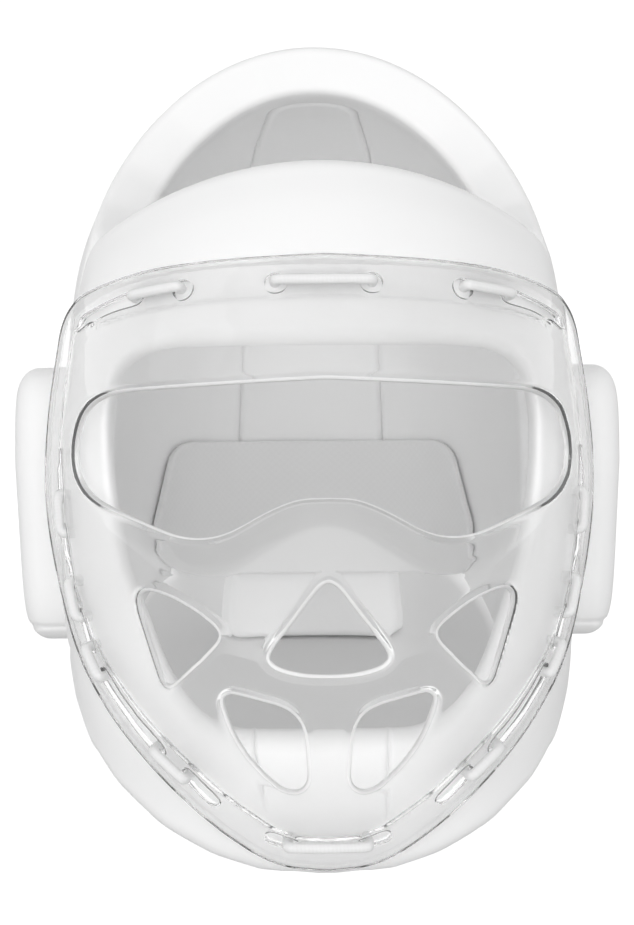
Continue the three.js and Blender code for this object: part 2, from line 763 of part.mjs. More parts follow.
/** A lace along its route, with its corners cut off. */
function makeLace(passes) {
  const corners = laceRoute(passes);
  const last = corners.length - 1;
  const path = [corners[0]];
  for (let i = 1; i < last; i++) {
    const [before, corner, after] = [corners[i - 1], corners[i], corners[i + 1]];
    const reach = (other) => Math.min(LACE_BEND, LACE_BEND_SHARE * corner.distanceTo(other));
    const start = corner.clone().lerp(before, reach(before) / corner.distanceTo(before));
    const end = corner.clone().lerp(after, reach(after) / corner.distanceTo(after));
    const turn = corner.clone().sub(before).angleTo(after.clone().sub(corner));
    path.push(...(turn < LACE_STRAIGHT ? [corner] : [start, end]));
  }
  path.push(corners[last]);
  return toSolid(ringLoft(tubeRings(path, LACE_RADIUS)));
}

/** Rings of a tube through some points; the section is carried along without twisting. */
function tubeRings(points, radius) {
  const end = points.length - 1;
  const tangents = points.map((_, i) => {
    return points[Math.min(i + 1, end)].clone().sub(points[Math.max(i - 1, 0)]).normalize();
  });
  const across = new THREE.Vector3(0, 0, 1).cross(tangents[0]).normalize();
  return points.map((point, i) => {
    const turn = new THREE.Quaternion();
    if (i > 0) across.applyQuaternion(turn.setFromUnitVectors(tangents[i - 1], tangents[i]));
    const ring = [];
    for (let k = 0; k < LACE_SIDES; k++) {
      const spoke = across.clone().applyAxisAngle(tangents[i], (k / LACE_SIDES) * 2 * Math.PI);
      ring.push(spoke.multiplyScalar(radius).add(point));
    }
    return ring;
  });
}

// Assembly

function foam() {
  return new THREE.MeshStandardMaterial({ color: FOAM_WHITE, roughness: 0.55, metalness: 0 });
}

function cord() {
  return new THREE.MeshStandardMaterial({ color: LACE_WHITE, roughness: 0.85, metalness: 0 });
}

function makePiece(name, body, material) {
  const mesh = new THREE.Mesh(toGeometry(body), material);
  mesh.name = name;
  return mesh;
}

const topPasses = lacePasses(TOP_LACE);
const lowerPasses = lacePasses(LOWER_LACE);
const bores = [...topPasses, ...lowerPasses].map(laceBore);
const worn = new THREE.Group();
worn.add(
  makePiece("front_shell", makeFrontShell(bores), foam()),
  makePiece("crown_shell", makeCrownShell(), foam()),
  makePiece("back_tongue", makeTongue(), foam()),
  makePiece(
    "rear_strap",
    makeStrap(),
    new THREE.MeshStandardMaterial({ color: STRAP_WHITE, roughness: 0.8, metalness: 0 }),
  ),
  makePiece("ear_pad_left", makeEarPad(1), foam()),
  makePiece("ear_pad_right", makeEarPad(-1), foam()),
  makePiece(
    "face_mask",
    makeMask(),
    new THREE.MeshStandardMaterial({
      color: MASK_CLEAR,
      roughness: 0.06,
      metalness: 0,
      transparent: true,
      opacity: 0.25,
    }),
  ),
  makePiece("lace_top", makeLace(topPasses), cord()),
  makePiece("lace_lower", makeLace(lowerPasses), cord()),
);
worn.rotation.x = -REST_TILT;

// The origin is under the middle of the guard, on the ground.
const headGuard = new THREE.Group();
headGuard.add(worn);
headGuard.updateMatrixWorld(true);
const box = new THREE.Box3().setFromObject(headGuard, true);
const middle = box.getCenter(new THREE.Vector3());
worn.position.set(-middle.x, -middle.y, -box.min.z);

export default headGuard;
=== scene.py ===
"""Looks of a youth head guard for karate: a dipped-foam shell with an open crown, ear pads, a rear tongue
and strap, and a clear moulded face mask that is laced on around its rim.

Sizes are millimetres in the head's own frame: X to the right seen from the front, Y to the rear, Z up, with
the origin between the ears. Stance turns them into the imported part's frame, which is in metres on the ground.
"""

import logging
import math
from dataclasses import dataclass, field
from enum import Enum
from functools import partial, reduce
from typing import Callable, Sequence

import bpy
import numpy as np
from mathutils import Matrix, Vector


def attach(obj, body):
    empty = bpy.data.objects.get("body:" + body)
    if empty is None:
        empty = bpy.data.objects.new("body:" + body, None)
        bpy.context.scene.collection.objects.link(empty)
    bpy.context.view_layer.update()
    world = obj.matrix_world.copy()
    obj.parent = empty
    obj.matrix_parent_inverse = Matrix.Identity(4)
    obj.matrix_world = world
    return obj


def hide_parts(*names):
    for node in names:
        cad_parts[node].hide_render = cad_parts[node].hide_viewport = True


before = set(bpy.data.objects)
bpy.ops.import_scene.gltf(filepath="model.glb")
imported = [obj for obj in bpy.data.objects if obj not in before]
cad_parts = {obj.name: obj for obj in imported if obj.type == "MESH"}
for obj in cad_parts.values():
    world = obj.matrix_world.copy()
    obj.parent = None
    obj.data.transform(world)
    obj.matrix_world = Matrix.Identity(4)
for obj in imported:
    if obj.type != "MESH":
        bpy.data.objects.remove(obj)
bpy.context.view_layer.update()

log = logging.getLogger("head_guard")

Array = np.ndarray
Pair = tuple[float, float]
Triple = tuple[float, float, float]
Line = tuple[Pair, ...]
Corner = Triple  # x, z, and how far before the corner its rounding starts
Place = Callable[[Array, Array], Array]
Material, Piece = bpy.types.Material, bpy.types.Object
Socket, Tree = bpy.types.NodeSocket, bpy.types.NodeTree

BODY = "root"
MM = 0.001
FAR = 300.0  # reach of an outline that is open on one side
TINY = 1e-9  # keeps a division from failing
SLOPE_TURN, SLOPE_CLIMB = 0.004, 0.4  # radians and millimetres over which a surface's slopes are taken
FIELD_SLOPES = (0.35, 3.0)  # least and greatest slope of a field that is turned into a distance
SLOW_GRAIN = 0.03  # scale of the slow patches of tone, as a share of the fine grain's
WHITE = (1.0, 1.0, 1.0, 1.0)


class Slot(Enum):
    """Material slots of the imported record."""

    FOAM = "foam_white"
    STRAP = "strap_white"
    MASK = "mask_clear"
    LACE = "lace_white"


# Curves and outlines


def smooth_step(value: Array, low: float, high: float) -> Array:
    """Rises from 0 at low to 1 at high, level at both ends: t squared times (3 - 2 t)."""
    t = np.clip((value - low) / (high - low), 0.0, 1.0)
    return t * t * (3.0 - 2.0 * t)


def soft_min(first: Array, second: Array, width: float) -> Array:
    """Lesser of two fields, with the corner between them rounded over a width."""
    h = np.clip(0.5 + 0.5 * (second - first) / width, 0.0, 1.0)
    return second * (1.0 - h) + first * h - width * h * (1.0 - h)


def soft_ramp(value: Array, length: float, corner: float) -> Array:
    """Rises straight from 0 to 1 over a length, with both bends rounded."""
    risen = -soft_min(-value, np.zeros_like(value), corner)
    return soft_min(risen, np.full_like(value, length), corner) / length


def smooth_column(place: Array, rows: Array, column: int) -> Array:
    """A table's column between its rows, by cubic Hermite pieces whose slopes come from the rows beside them.

    Args:
        place: where to read, in the unit of the table's first column, which rises.
        rows: the table.
        column: which column to read.

    Returns:
        The column's values, held level beyond the ends.
    """
    x, y = rows[:, 0], rows[:, column]
    slope = np.gradient(y, x)
    i = np.clip(np.searchsorted(x, place) - 1, 0, len(x) - 2)
    span = x[i + 1] - x[i]
    t = np.clip((place - x[i]) / span, 0.0, 1.0)
    rise = t * t * (3.0 - 2.0 * t)
    swing = span * (slope[i] * t * (1.0 - t) ** 2 - slope[i + 1] * t * t * (1.0 - t))
    return y[i] * (1.0 - rise) + y[i + 1] * rise + swing


def rounded(corners: Sequence[Corner], steps: int = 10) -> Array:
    """Outline with each corner rounded by a quadratic curve from r before it to r after it.

    Args:
        corners: the outline's corners with their r, which is cut to half the edge beside it.
        steps: points on each curve.

    Returns:
        The outline's points, in order, as an array of (x, z).
    """
    table = np.array(corners, float)
    point, reach = table[:, :2], table[:, 2]
    before, after = np.roll(point, 1, 0) - point, np.roll(point, -1, 0) - point
    far_in, far_out = np.linalg.norm(before, axis=1), np.linalg.norm(after, axis=1)
    start = point + before * (np.minimum(reach, far_in / 2) / far_in)[:, None]
    end = point + after * (np.minimum(reach, far_out / 2) / far_out)[:, None]
    t = np.linspace(0.0, 1.0, steps)[None, :, None]
    curve = (1 - t) ** 2 * start[:, None] + 2 * t * (1 - t) * point[:, None] + t**2 * end[:, None]
    return curve.reshape(-1, 2)


def mirrored(half: Sequence[Corner]) -> list[Corner]:
    """Whole outline from a half outline that starts and ends on the middle line."""
    other = [(-x, z, r) for x, z, r in reversed(half[1:-1])]
    return [*half, *other]


def depth_inside(outline: Array, first: Array, second: Array) -> Array:
    """Distance from a closed outline, positive inside it.

    The distance is the least one to any edge. A point is inside where a line from it crosses an odd number of
    edges.

    Args:
        outline: corners of the outline.
        first: first coordinate of the points to test.
        second: second coordinate of them.

    Returns:
        The distance at each point.
    """
    least, odd = np.full(first.shape, np.inf), np.zeros(first.shape, bool)
    for (ax, az), (bx, bz) in zip(outline, np.roll(outline, -1, 0)):
        along, up = bx - ax, bz - az
        t = np.clip(((first - ax) * along + (second - az) * up) / max(along**2 + up**2, TINY), 0.0, 1.0)
        least = np.minimum(least, np.hypot(first - ax - t * along, second - az - t * up))
        if up != 0:
            odd ^= ((az > second) != (bz > second)) & (first < ax + along * (second - az) / up)
    return np.where(odd, least, -least)


# Stance and shell


@dataclass(frozen=True)
class Stance:
    """How the guard stands by itself: tipped back until its chin and its tongue touch the ground."""

    tilt: float = math.radians(17.06)
    lift: Pair = (10.373, 97.843)  # place of the head's origin behind and above the part's

    def raised(self, points: Array) -> Array:
        """Points of the head's frame turned about X and lifted, in millimetres above the ground.

        Args:
            points: points in the head's frame.

        Returns:
            The points above the ground.
        """
        cosine, sine = math.cos(self.tilt), math.sin(self.tilt)
        x, y, z = np.moveaxis(points, -1, 0)
        back, up = cosine * y + sine * z, cosine * z - sine * y
        return np.stack([x, back + self.lift[0], up + self.lift[1]], -1)

    def grounded(self, points: Array) -> Array:
        """The same in metres, with what would sink into the ground pressed flat on it.

        Args:
            points: points in the head's frame.

        Returns:
            The points in the part's frame.
        """
        world = self.raised(points)
        world[..., 2] = np.maximum(world[..., 2], 0.0)
        return world * MM


@dataclass(frozen=True)
class ShellForm:
    """Outer surface of the foam: superellipse sections that a dome closes at the top."""

    centre_y: float = 5.0
    dome_base: float = 40.0
    dome_rise: float = 114.0
    dome_arc: float = 165.0  # length of the way up the dome
    dome_power: float = 2.05
    dome_rounding: float = 1.6  # how soon the sections turn elliptical
    dome_end: float = 0.99999  # share of the rise at which they stop shrinking
    # height, half width, depth in front, depth behind, power
    rows: Array = field(
        default_factory=lambda: np.array([
            (-145, 79, 98, 104, 2.7),
            (-122, 83, 106, 106, 2.75),
            (-100, 86.5, 109, 108, 2.8),
            (-80, 88.5, 110, 109, 2.8),
            (-60, 90, 110, 110, 2.8),
            (-30, 91.6, 109.5, 111, 2.8),
            (0, 92, 109, 112, 2.7),
            (20, 91, 109, 112, 2.6),
            (40, 89, 109, 112, 2.5),
        ])
    )

    def height(self, climb: Array) -> Array:
        """Height at a length of the way up: level with it on the wall, and a sine of it on the dome."""
        turn = np.clip((climb - self.dome_base) / self.dome_arc, 0.0, 1.0) * (math.pi / 2)
        return np.minimum(climb, self.dome_base) + self.dome_rise * np.sin(turn)

    def section(self, z: Array) -> tuple[Array, Array, Array, Array]:
        """Half width, depth in front, depth behind and power of the section at a height.

        Above the dome's base the sections shrink by the square root of 1 - rise squared.

        Args:
            z: heights.

        Returns:
            The four sizes at each height.
        """
        low = np.minimum(z, self.dome_base)
        rise = np.clip((z - low) / self.dome_rise, 0.0, self.dome_end)
        shrink = np.sqrt(1.0 - rise**2)
        half, front, rear, power = (smooth_column(low, self.rows, k) for k in range(1, 5))
        power = power + (self.dome_power - power) * np.minimum(1.0, self.dome_rounding * rise)
        return half * shrink, front * shrink, rear * shrink, power

    def at(self, turn: Array, z: Array) -> Array:
        """Point of the section at a height, by the angle about the middle.

        The angle is 0 in front and positive to the right. The reach r from the middle solves
        (r sin / half) ^ p + (r cos / depth) ^ p = 1.

        Args:
            turn: angles about the middle.
            z: heights.

        Returns:
            The points.
        """
        half, front, rear, power = self.section(z)
        sine, cosine = np.sin(turn), np.cos(turn)
        depth = np.where(cosine > 0, front, rear)
        reach = (np.abs(sine / half) ** power + np.abs(cosine / depth) ** power) ** (-1.0 / power)
        return np.stack([reach * sine, self.centre_y - reach * cosine, z], -1)

    def place(self, turn: Array, climb: Array) -> Array:
        """Point of the surface by the angle about the middle and the length of the way up."""
        return self.at(turn, self.height(climb))


STANCE = Stance()
SHELL = ShellForm()


def unit(vectors: Array) -> Array:
    """Vectors of length 1 in the same directions."""
    return vectors / np.maximum(np.linalg.norm(vectors, axis=-1, keepdims=True), TINY)


def normals_of(place: Place, u: Array, v: Array) -> Array:
    """Outward normals of a surface: the cross product of its two slopes, taken over a small step each way.

    Args:
        place: the surface.
        u: angles on it.
        v: heights on it, or lengths of the way up.

    Returns:
        A normal of length 1 at each place.
    """
    across = place(u + SLOPE_TURN, v) - place(u - SLOPE_TURN, v)
    up = place(u, v + SLOPE_CLIMB) - place(u, v - SLOPE_CLIMB)
    return unit(np.cross(across, up))


def behind(turn: Array, climb: Array, depth: float) -> Array:
    """Surface at a depth inside the shell's, by the angle from the back and the length of the way up."""
    turn = turn + math.pi
    return SHELL.place(turn, climb) - depth * normals_of(SHELL.place, turn, climb)


def surface_depth(value: Array, points: Array) -> Array:
    """A field divided by its slope along the surface, which turns it into a distance from its zero line.

    With g the grid's metric, the slope squared is (G fu^2 - 2 F fu fv + E fv^2) / (E G - F^2).

    Args:
        value: the field on a grid.
        points: the grid's points.

    Returns:
        The distance in millimetres, positive where the field is.
    """
    fu, fv = np.gradient(value)
    pu, pv = np.gradient(points, axis=0), np.gradient(points, axis=1)
    e, f, g = (pu * pu).sum(-1), (pu * pv).sum(-1), (pv * pv).sum(-1)
    slope = (g * fu**2 - 2 * f * fu * fv + e * fv**2) / np.maximum(e * g - f * f, TINY)
    return value / np.clip(np.sqrt(slope), *FIELD_SLOPES)


def nearest_edge(fields: Sequence[Array], points: Array, corner: float) -> Array:
    """Distance inside the nearest of several edges, with the corners between them rounded.

    Args:
        fields: a field for each edge, zero on it and positive inside.
        points: points of the grid.
        corner: width of the rounding.

    Returns:
        The distance in millimetres.
    """
    return reduce(partial(soft_min, width=corner), (surface_depth(value, points) for value in fields))


# Trimmed walls


def snap_to_line(value: Array, carried: Sequence[Array]) -> tuple[list[Array], Array]:
    """Moves the grid points next to a field's zero line onto it.

    On a grid edge whose ends a and b differ in sign, the zero lies a / (a - b) of the way. The nearer end
    moves there.

    Args:
        value: the field on the grid.
        carried: what else the grid's points have, such as their parameters.

    Returns:
        What the points have at their new places, and the field with zeros at those that moved.
    """
    least = np.full(value.shape, 0.5)
    moved, on_line = list(carried), np.zeros(value.shape, bool)
    for axis in (0, 1):
        for way in (1, -1):
            other = np.roll(value, way, axis)
            crosses = value * other < 0
            crosses[(slice(None),) * axis + (0 if way == 1 else -1,)] = False
            share = np.where(crosses, value / np.where(crosses, value - other, 1.0), 1.0)
            nearer = share <= least
            least = np.where(nearer, share, least)
            shifted = [old + share * (np.roll(old, way, axis) - old) for old in carried]
            moved = [np.where(nearer, new, kept) for new, kept in zip(shifted, moved)]
            on_line |= nearer
    return moved, np.where(on_line, 0.0, value)


def faces_inside(value: Array, snapped: Array) -> tuple[Array, Array]:
    """Cells of a grid on the positive side of a field: quads, and triangles where one corner is outside.

    Args:
        value: the field on the grid.
        snapped: the field after snap_to_line.

    Returns:
        Corner numbers of the quads and of the triangles.
    """
    number = np.arange(value.size).reshape(value.shape)
    cells = np.stack([number[:-1, :-1], number[1:, :-1], number[1:, 1:], number[:-1, 1:]], -1).reshape(-1, 4)
    out = snapped.ravel()[cells] < 0
    flat = value.ravel()
    quads = cells[(out.sum(1) == 0) & (flat[cells].mean(1) > 0)]
    clipped = out.sum(1) == 1
    turn = (np.argmax(out[clipped], 1)[:, None] + np.arange(1, 4)) % 4
    triangles = np.take_along_axis(cells[clipped], turn, 1)
    return quads, triangles[flat[triangles].mean(1) > 0]


@dataclass
class Trim:
    """How a wall is trimmed, at each point of its grid."""

    inside: Array  # distance inside the strip along the edge
    reach: Array  # width of that strip
    lip: Array  # how far the strip turns down on its way out
    lift: Array  # rise of the wall
    straight: Array  # 1 where the wall is cut straight from front to back, 0 where square to its face


def trimmed(edges: Sequence[tuple[Array, float, float]], lift: Array, straight: Array | None = None) -> Trim:
    """Trim of a wall that ends at the nearest of several edges.

    Args:
        edges: the depth inside each edge, the width of its strip, and how far that turns down.
        lift: rise of the wall.
        straight: share by which the wall is cut from front to back; none if it is cut square to its face.

    Returns:
        The trim, with the strip of the edge that comes first on the way out.
    """
    inside = np.stack([depth - reach for depth, reach, _ in edges])
    first = inside.argmin(0)
    reach, lip = (np.array([edge[k] for edge in edges])[first] for k in (1, 2))
    return Trim(inside.min(0), reach, lip, lift, np.zeros(lift.shape) if straight is None else straight)


@dataclass
class Face:
    """Outer face of a wall: what each vertex has, the faces between them, and the edges of its border."""

    points: Array
    normals: Array
    through: Array  # way to the inner face
    reach: Array  # width of the strip along the edge
    lip: Array  # how far that strip turns down
    flat: Array  # place on a flat pattern
    quads: Array
    triangles: Array
    border: Array


@dataclass
class Solid:
    """Vertices in the head's frame with their faces, and a place on a flat pattern for each vertex."""

    points: Array
    quads: Array
    triangles: Array
    flat: Array
    edge: Array  # true for each quad of an edge that turns down


@dataclass
class TrimmedWall:
    """A wall on a surface, trimmed to an outline and closed by a rounded edge.

    The outer face is the grid inside the strip along the edge. The grid's border is swept out over that
    strip, around the edge and back under it, and meets the inner face.
    """

    place: Place
    turns: Array  # the grid's angles in degrees
    climbs: Array
    thick: float
    rounding: float  # radius of both corners of the edge
    trim: Callable[[Array], Trim]
    strip_steps: int = 0
    edge_steps: int = 7
    smoothing: int = 3
    thinning: float = 0.0  # how much thinner the wall is at an edge, as a share of that edge's lip
    least_facing: float = 0.3  # the straight cut is no longer than where the face looks forwards by so much

    def solid(self) -> Solid:
        """Builds the closed wall.

        Returns:
            Its vertices and faces.
        """
        u, v = np.meshgrid(np.radians(self.turns), self.climbs, indexing="ij")
        trim = self.trim(self.place(u, v))
        carried = (u, v, trim.lift, trim.straight, trim.reach, trim.lip)
        carried, snapped = snap_to_line(trim.inside, carried)
        quads, triangles = faces_inside(trim.inside, snapped)
        used, both = np.unique(np.concatenate([quads.ravel(), triangles.ravel()]), return_inverse=True)
        quads, triangles = both[: quads.size].reshape(-1, 4), both[quads.size:].reshape(-1, 3)
        u, v, lift, straight, reach, lip = (values.ravel()[used] for values in carried)
        points, normals = self.place(u, v), normals_of(self.place, u, v)
        border = self.border(quads, triangles, len(used))
        points = self.eased(points, border) + normals * lift[:, None]
        reach, lip = (self.eased(values, border) for values in (reach, lip))
        through = self.through(normals, straight)
        flat = np.stack([u, v], -1)
        return self.closed(Face(points, normals, through, reach, lip, flat, quads, triangles, border))

    def through(self, normals: Array, straight: Array) -> Array:
        """Way from the outer face to the inner: square to it, or along y and as deep, or between the two.

        Args:
            normals: normals of the outer face.
            straight: share by which the wall is cut along y.

        Returns:
            The way at each vertex.
        """
        back = np.zeros_like(normals)
        back[:, 1] = self.thick / np.maximum(-normals[:, 1], self.least_facing)
        return -self.thick * normals + straight[:, None] * (back + self.thick * normals)

    @staticmethod
    def border(quads: Array, triangles: Array, count: int) -> Array:
        """Edges that only one face has, in the direction in which that face runs.

        Args:
            quads: faces of four corners.
            triangles: faces of three corners.
            count: number of vertices.

        Returns:
            The edges, each as two vertices.
        """
        loops = [np.stack([faces, np.roll(faces, -1, 1)], -1).reshape(-1, 2) for faces in (quads, triangles)]
        edges = np.concatenate(loops)
        forward, backward = edges[:, 0] * count + edges[:, 1], edges[:, 1] * count + edges[:, 0]
        return edges[~np.isin(forward, backward)]

    def eased(self, values: Array, border: Array) -> Array:
        """Values with the border's smoothed: each moves half way to the middle of its neighbours there.

        Args:
            values: what each vertex has.
            border: edges of the border.

        Returns:
            The values, smooth on the border.
        """
        start, stop = border.T
        eased = values.copy()
        after, before = np.zeros(len(values), int), np.zeros(len(values), int)
        after[start], before[stop] = stop, start
        for _ in range(self.smoothing):
            eased[start] += 0.5 * ((eased[after[start]] + eased[before[start]]) / 2 - eased[start])
        return eased

    def profile(self, reach: Array, lip: Array) -> tuple[Array, Array]:
        """Way from the outer face's border around the edge to the inner face's, as rows of places on it.

        The strip turns down along a smooth step. At its end, two quarter circles with a straight between them
        make the edge, and the inner side of the strip runs back below the outer side.

        Args:
            reach: width of the strip at each border point.
            lip: how far it turns down there.

        Returns:
            How far out and how far down each row lies, at each border point.
        """
        share = np.linspace(0.0, 1.0, self.strip_steps, endpoint=False)[:, None]
        turn = np.linspace(0.0, math.pi / 2, self.edge_steps)[:, None]
        flat = reach - self.rounding
        out = np.concatenate([share * flat, flat + self.rounding * np.sin(turn)])
        drop = smooth_step(share, 0.0, 1.0) * lip
        corner = self.rounding * (1.0 - np.cos(turn))
        front = np.concatenate([drop, lip + corner])
        fallen = np.concatenate([drop, np.tile(lip, (self.edge_steps, 1))])
        back = np.concatenate([drop, lip - corner]) + self.thick - self.thinning * np.maximum(fallen, 0.0)
        return np.concatenate([out, out[::-1]])[1:-1], np.concatenate([front, back[::-1]])[1:-1]

    def closed(self, face: Face) -> Solid:
        """Adds the rounded edge and the inner face to the outer face.

        Args:
            face: the outer face.

        Returns:
            The closed wall.
        """
        points, through, quads, triangles = face.points, face.through, face.quads, face.triangles
        count = len(points)
        start, stop = face.border.T
        along = np.zeros_like(points)
        along[start] += points[stop] - points[start]
        along[stop] += points[stop] - points[start]
        rim = np.unique(start)
        for _ in range(self.smoothing):
            eased = along.copy()
            eased[start] += along[stop]
            eased[stop] += along[start]
            along = eased
        outward = unit(np.cross(along[rim], face.normals[rim]))
        out, down = self.profile(face.reach[rim], face.lip[rim])
        edge = points[rim] + out[..., None] * outward + (down / self.thick)[..., None] * through[rim]
        local = np.zeros(count, int)
        local[rim] = np.arange(len(rim))
        rows = 2 * count + np.arange(len(out))[:, None] * len(rim)
        first = np.concatenate([start[None], rows + local[start], start[None] + count])
        second = np.concatenate([stop[None], rows + local[stop], stop[None] + count])
        strip = np.stack([second[:-1], first[:-1], first[1:], second[1:]], -1).reshape(-1, 4)
        row = np.arange(len(first) - 1)
        cut = (row >= self.strip_steps - 1) & (row < self.strip_steps + 2 * self.edge_steps - 1)
        return Solid(
            np.concatenate([points, points + through, edge.reshape(-1, 3)]),
            np.concatenate([quads, quads[:, ::-1] + count, strip]),
            np.concatenate([triangles, triangles[:, ::-1] + count]),
            np.concatenate([face.flat, face.flat, np.tile(face.flat[rim], (len(out), 1))]),
            np.concatenate([np.zeros(2 * len(quads), bool), (cut[:, None] & (face.lip[start] > 0)).ravel()]),
        )


def grid_solid(rings: Array, flat: Array) -> Solid:
    """Closed solid from rings of points, each closed on itself, with a fan to the middle of both end rings.

    Args:
        rings: points as (ring, side, 3).
        flat: place of each point on a flat pattern, as (ring, side, 2).

    Returns:
        The solid.
    """
    count, sides = rings.shape[:2]
    number = np.arange(count * sides).reshape(count, sides)
    beside = np.roll(number, -1, 1)
    quads = np.stack([number[:-1], beside[:-1], beside[1:], number[1:]], -1).reshape(-1, 4)
    low, high = np.full(sides, count * sides), np.full(sides, count * sides + 1)
    fans = [np.stack([beside[0], number[0], low], -1), np.stack([number[-1], beside[-1], high], -1)]
    middles = rings[[0, -1]].mean(1)
    return Solid(
        np.concatenate([rings.reshape(-1, 3), middles]),
        quads,
        np.concatenate(fans),
        np.concatenate([flat.reshape(-1, 2), flat[[0, -1]].mean(1)]),
        np.zeros(len(quads), bool),
    )


def make_piece(name: str, solid: Solid, node: str, slot: Slot, *finishes: Material) -> Piece:
    """Puts a solid into the scene as a piece that stands for a node of the part.

    Args:
        name: name of the piece.
        solid: its vertices, in the head's frame, and faces.
        node: node of the part that it replaces.
        slot: the record's slot of its finish; not used.
        finishes: its finish, and that of its turned lips where they have their own.

    Returns:
        The new object.
    """
    mesh = bpy.data.meshes.new(name)
    faces = [*solid.quads.tolist(), *solid.triangles.tolist()]
    mesh.from_pydata(STANCE.grounded(solid.points), [], faces)
    mesh.polygons.foreach_set("use_smooth", np.ones(len(mesh.polygons), bool))
    corner = np.empty(len(mesh.loops), np.int32)
    mesh.loops.foreach_get("vertex_index", corner)
    mesh.uv_layers.new(name="Flat").data.foreach_set("uv", solid.flat[corner].astype(np.float32).ravel())
    for finish in finishes:
        mesh.materials.append(finish)
    if len(finishes) > 1:
        cut = np.concatenate([solid.edge, np.zeros(len(solid.triangles), bool)])
        mesh.polygons.foreach_set("material_index", cut.astype(np.int32))
    mesh.update()
    piece = bpy.data.objects.new(name, mesh)
    bpy.context.scene.collection.objects.link(piece)
    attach(piece, BODY)
    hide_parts(node)
    log.info("%s: %d vertices, %d faces", name, len(mesh.vertices), len(mesh.polygons))
    return piece


# Foam


def in_front_of_seam(points: Array) -> Array:
    """Depth in front of the seam between the front shell and the crown, seen from the side.

    Args:
        points: points in the head's frame.

    Returns:
        The depth at each point.
    """
    seam = [
        (10, 170), (6, 152), (1, 130), (-7, 110), (-18, 94), (-33, 80), (-35, 66), (-30, 40), (-20, 0),
        (-6, -40), (10, -90),
    ]
    line = [(seam[0][0], FAR), *seam, (seam[-1][0], -FAR), (-FAR, -FAR), (-FAR, FAR)]
    return depth_inside(np.array(line, float), points[..., 1], points[..., 2])


def above_line(line: Sequence[Pair], across: Array, up: Array) -> Array:
    """Depth above an open line of points that runs across, level beyond both of its ends.

    Args:
        line: points of the line.
        across: first coordinate of the points to test.
        up: second coordinate of them.

    Returns:
        The depth at each point.
    """
    (first, left), (last, right) = line[0], line[-1]
    way = math.copysign(FAR, last - first)
    outline = [(first - way, left), *line, (last + way, right), (last + way, FAR), (first - way, FAR)]
    return depth_inside(np.array(outline, float), across, up)


def stepped(low: float, high: float, step: float, fine: Triple) -> Array:
    """Even steps from low to high, with a stretch in between that has finer ones.

    Args:
        low: where the steps start.
        high: where they end.
        step: their size.
        fine: start, end and step of the finer stretch.

    Returns:
        The steps.
    """
    start, stop, fine_step = fine
    stretches = ((low, start, step), (start, stop, fine_step), (stop, high, step))
    return np.concatenate([np.arange(*stretch) for stretch in stretches])


@dataclass
class FrontShell:
    """Brow band, cheeks and chin guard: one foam wall around the face opening."""

    thick: float = 15.0
    radius: float = 6.5
    turns: Triple = (-116.0, 116.5, 0.75)  # start, end and step of the grid, in degrees
    fine_turns: Triple = (-16.0, 16.0, 0.2)  # and at the chin's creases
    climbs: Triple = (-142.0, 128.0, 1.35)
    fine_climbs: Triple = (-118.0, -76.0, 0.75)
    swell: Pair = (0.8, 3.0)  # rise away from the edge, and after how many radii it is reached
    brow_top: float = 101.0
    brow_fall: float = 0.0036
    corner: float = 7.0  # rounding where two edges meet
    opening: tuple[Corner, ...] = (
        (0, 37.5, 0), (70.5, 37.5, 25), (69, -18, 40), (49, -71, 14), (33.5, -85.3, 10), (0, -85.3, 0),
    )
    jaw: Line = (
        (0, -134.5), (22, -132.4), (37.4, -127.6), (55.3, -118.8), (70.6, -106.5), (81, -94), (87, -80),
        (89.4, -67), (96, -66),
    )
    jaw_side: Line = (
        (-96, -142), (-82, -121), (-66, -104), (-46, -87), (-22, -74), (5, -69), (40, -67),
    )
    # two creases of the chin: x at the top and at the foot, heights, depth of the fold
    creases: tuple[tuple[float, ...], ...] = (
        (-24.5, -18.5, -86.0, -112.0, 2.0), (20.2, 18.0, -86.0, -118.0, 2.0),
    )
    crease_width: float = 0.4
    crease_start: Pair = (-0.25, 0.0)  # shares of its height over which a crease comes and goes
    crease_end: Pair = (0.55, 1.0)
    straight: Pair = (6.5, 48.0)  # from the opening's edge, over which its straight cut fades

    def depth(self, points: Array) -> tuple[Array, Array]:
        """Distance from the nearest edge, be it brow, seam, jaw or face opening, and from the opening.

        Args:
            points: points of the wall's grid.

        Returns:
            Both distances.
        """
        x, y, z = np.moveaxis(points, -1, 0)
        left = [(-a, b) for a, b in reversed(self.jaw[1:])]
        fields = [
            self.brow_top - self.brow_fall * x**2 - z,
            -depth_inside(rounded(mirrored(self.opening)), x, z),
            above_line([*left, *self.jaw], x, z),
            above_line(self.jaw_side, y, z),
            in_front_of_seam(points),
        ]
        return nearest_edge(fields, points, self.corner), surface_depth(fields[1], points)

    def trim(self, points: Array) -> Trim:
        """Edge of the foam, with a slight swell away from it and the chin's creases pressed in.

        Args:
            points: points of the wall's grid.

        Returns:
            The trim.
        """
        x, _, z = np.moveaxis(points, -1, 0)
        depth, opening = self.depth(points)
        rise, radii = self.swell
        lift = rise * smooth_step(depth, self.radius, radii * self.radius)
        for top, foot, high, low, fold in self.creases:
            share = (high - z) / (high - low)
            off = x - (top + (foot - top) * share)
            shown = smooth_step(share, *self.crease_start) * (1.0 - smooth_step(share, *self.crease_end))
            lift = lift - fold * shown * np.exp(-np.abs(off) / self.crease_width)
        return trimmed([(depth, self.radius, 0.0)], lift, 1.0 - smooth_step(opening, *self.straight))

    def build(self, finish: Material) -> Piece:
        """Builds the piece as a trimmed wall on the shell's surface.

        Args:
            finish: its material.

        Returns:
            The piece.
        """
        wall = TrimmedWall(
            SHELL.place, stepped(*self.turns, self.fine_turns), stepped(*self.climbs, self.fine_climbs),
            self.thick, self.radius, self.trim,
        )
        piece = make_piece("front_shell_foam", wall.solid(), "front_shell", Slot.FOAM, finish)
        return piece


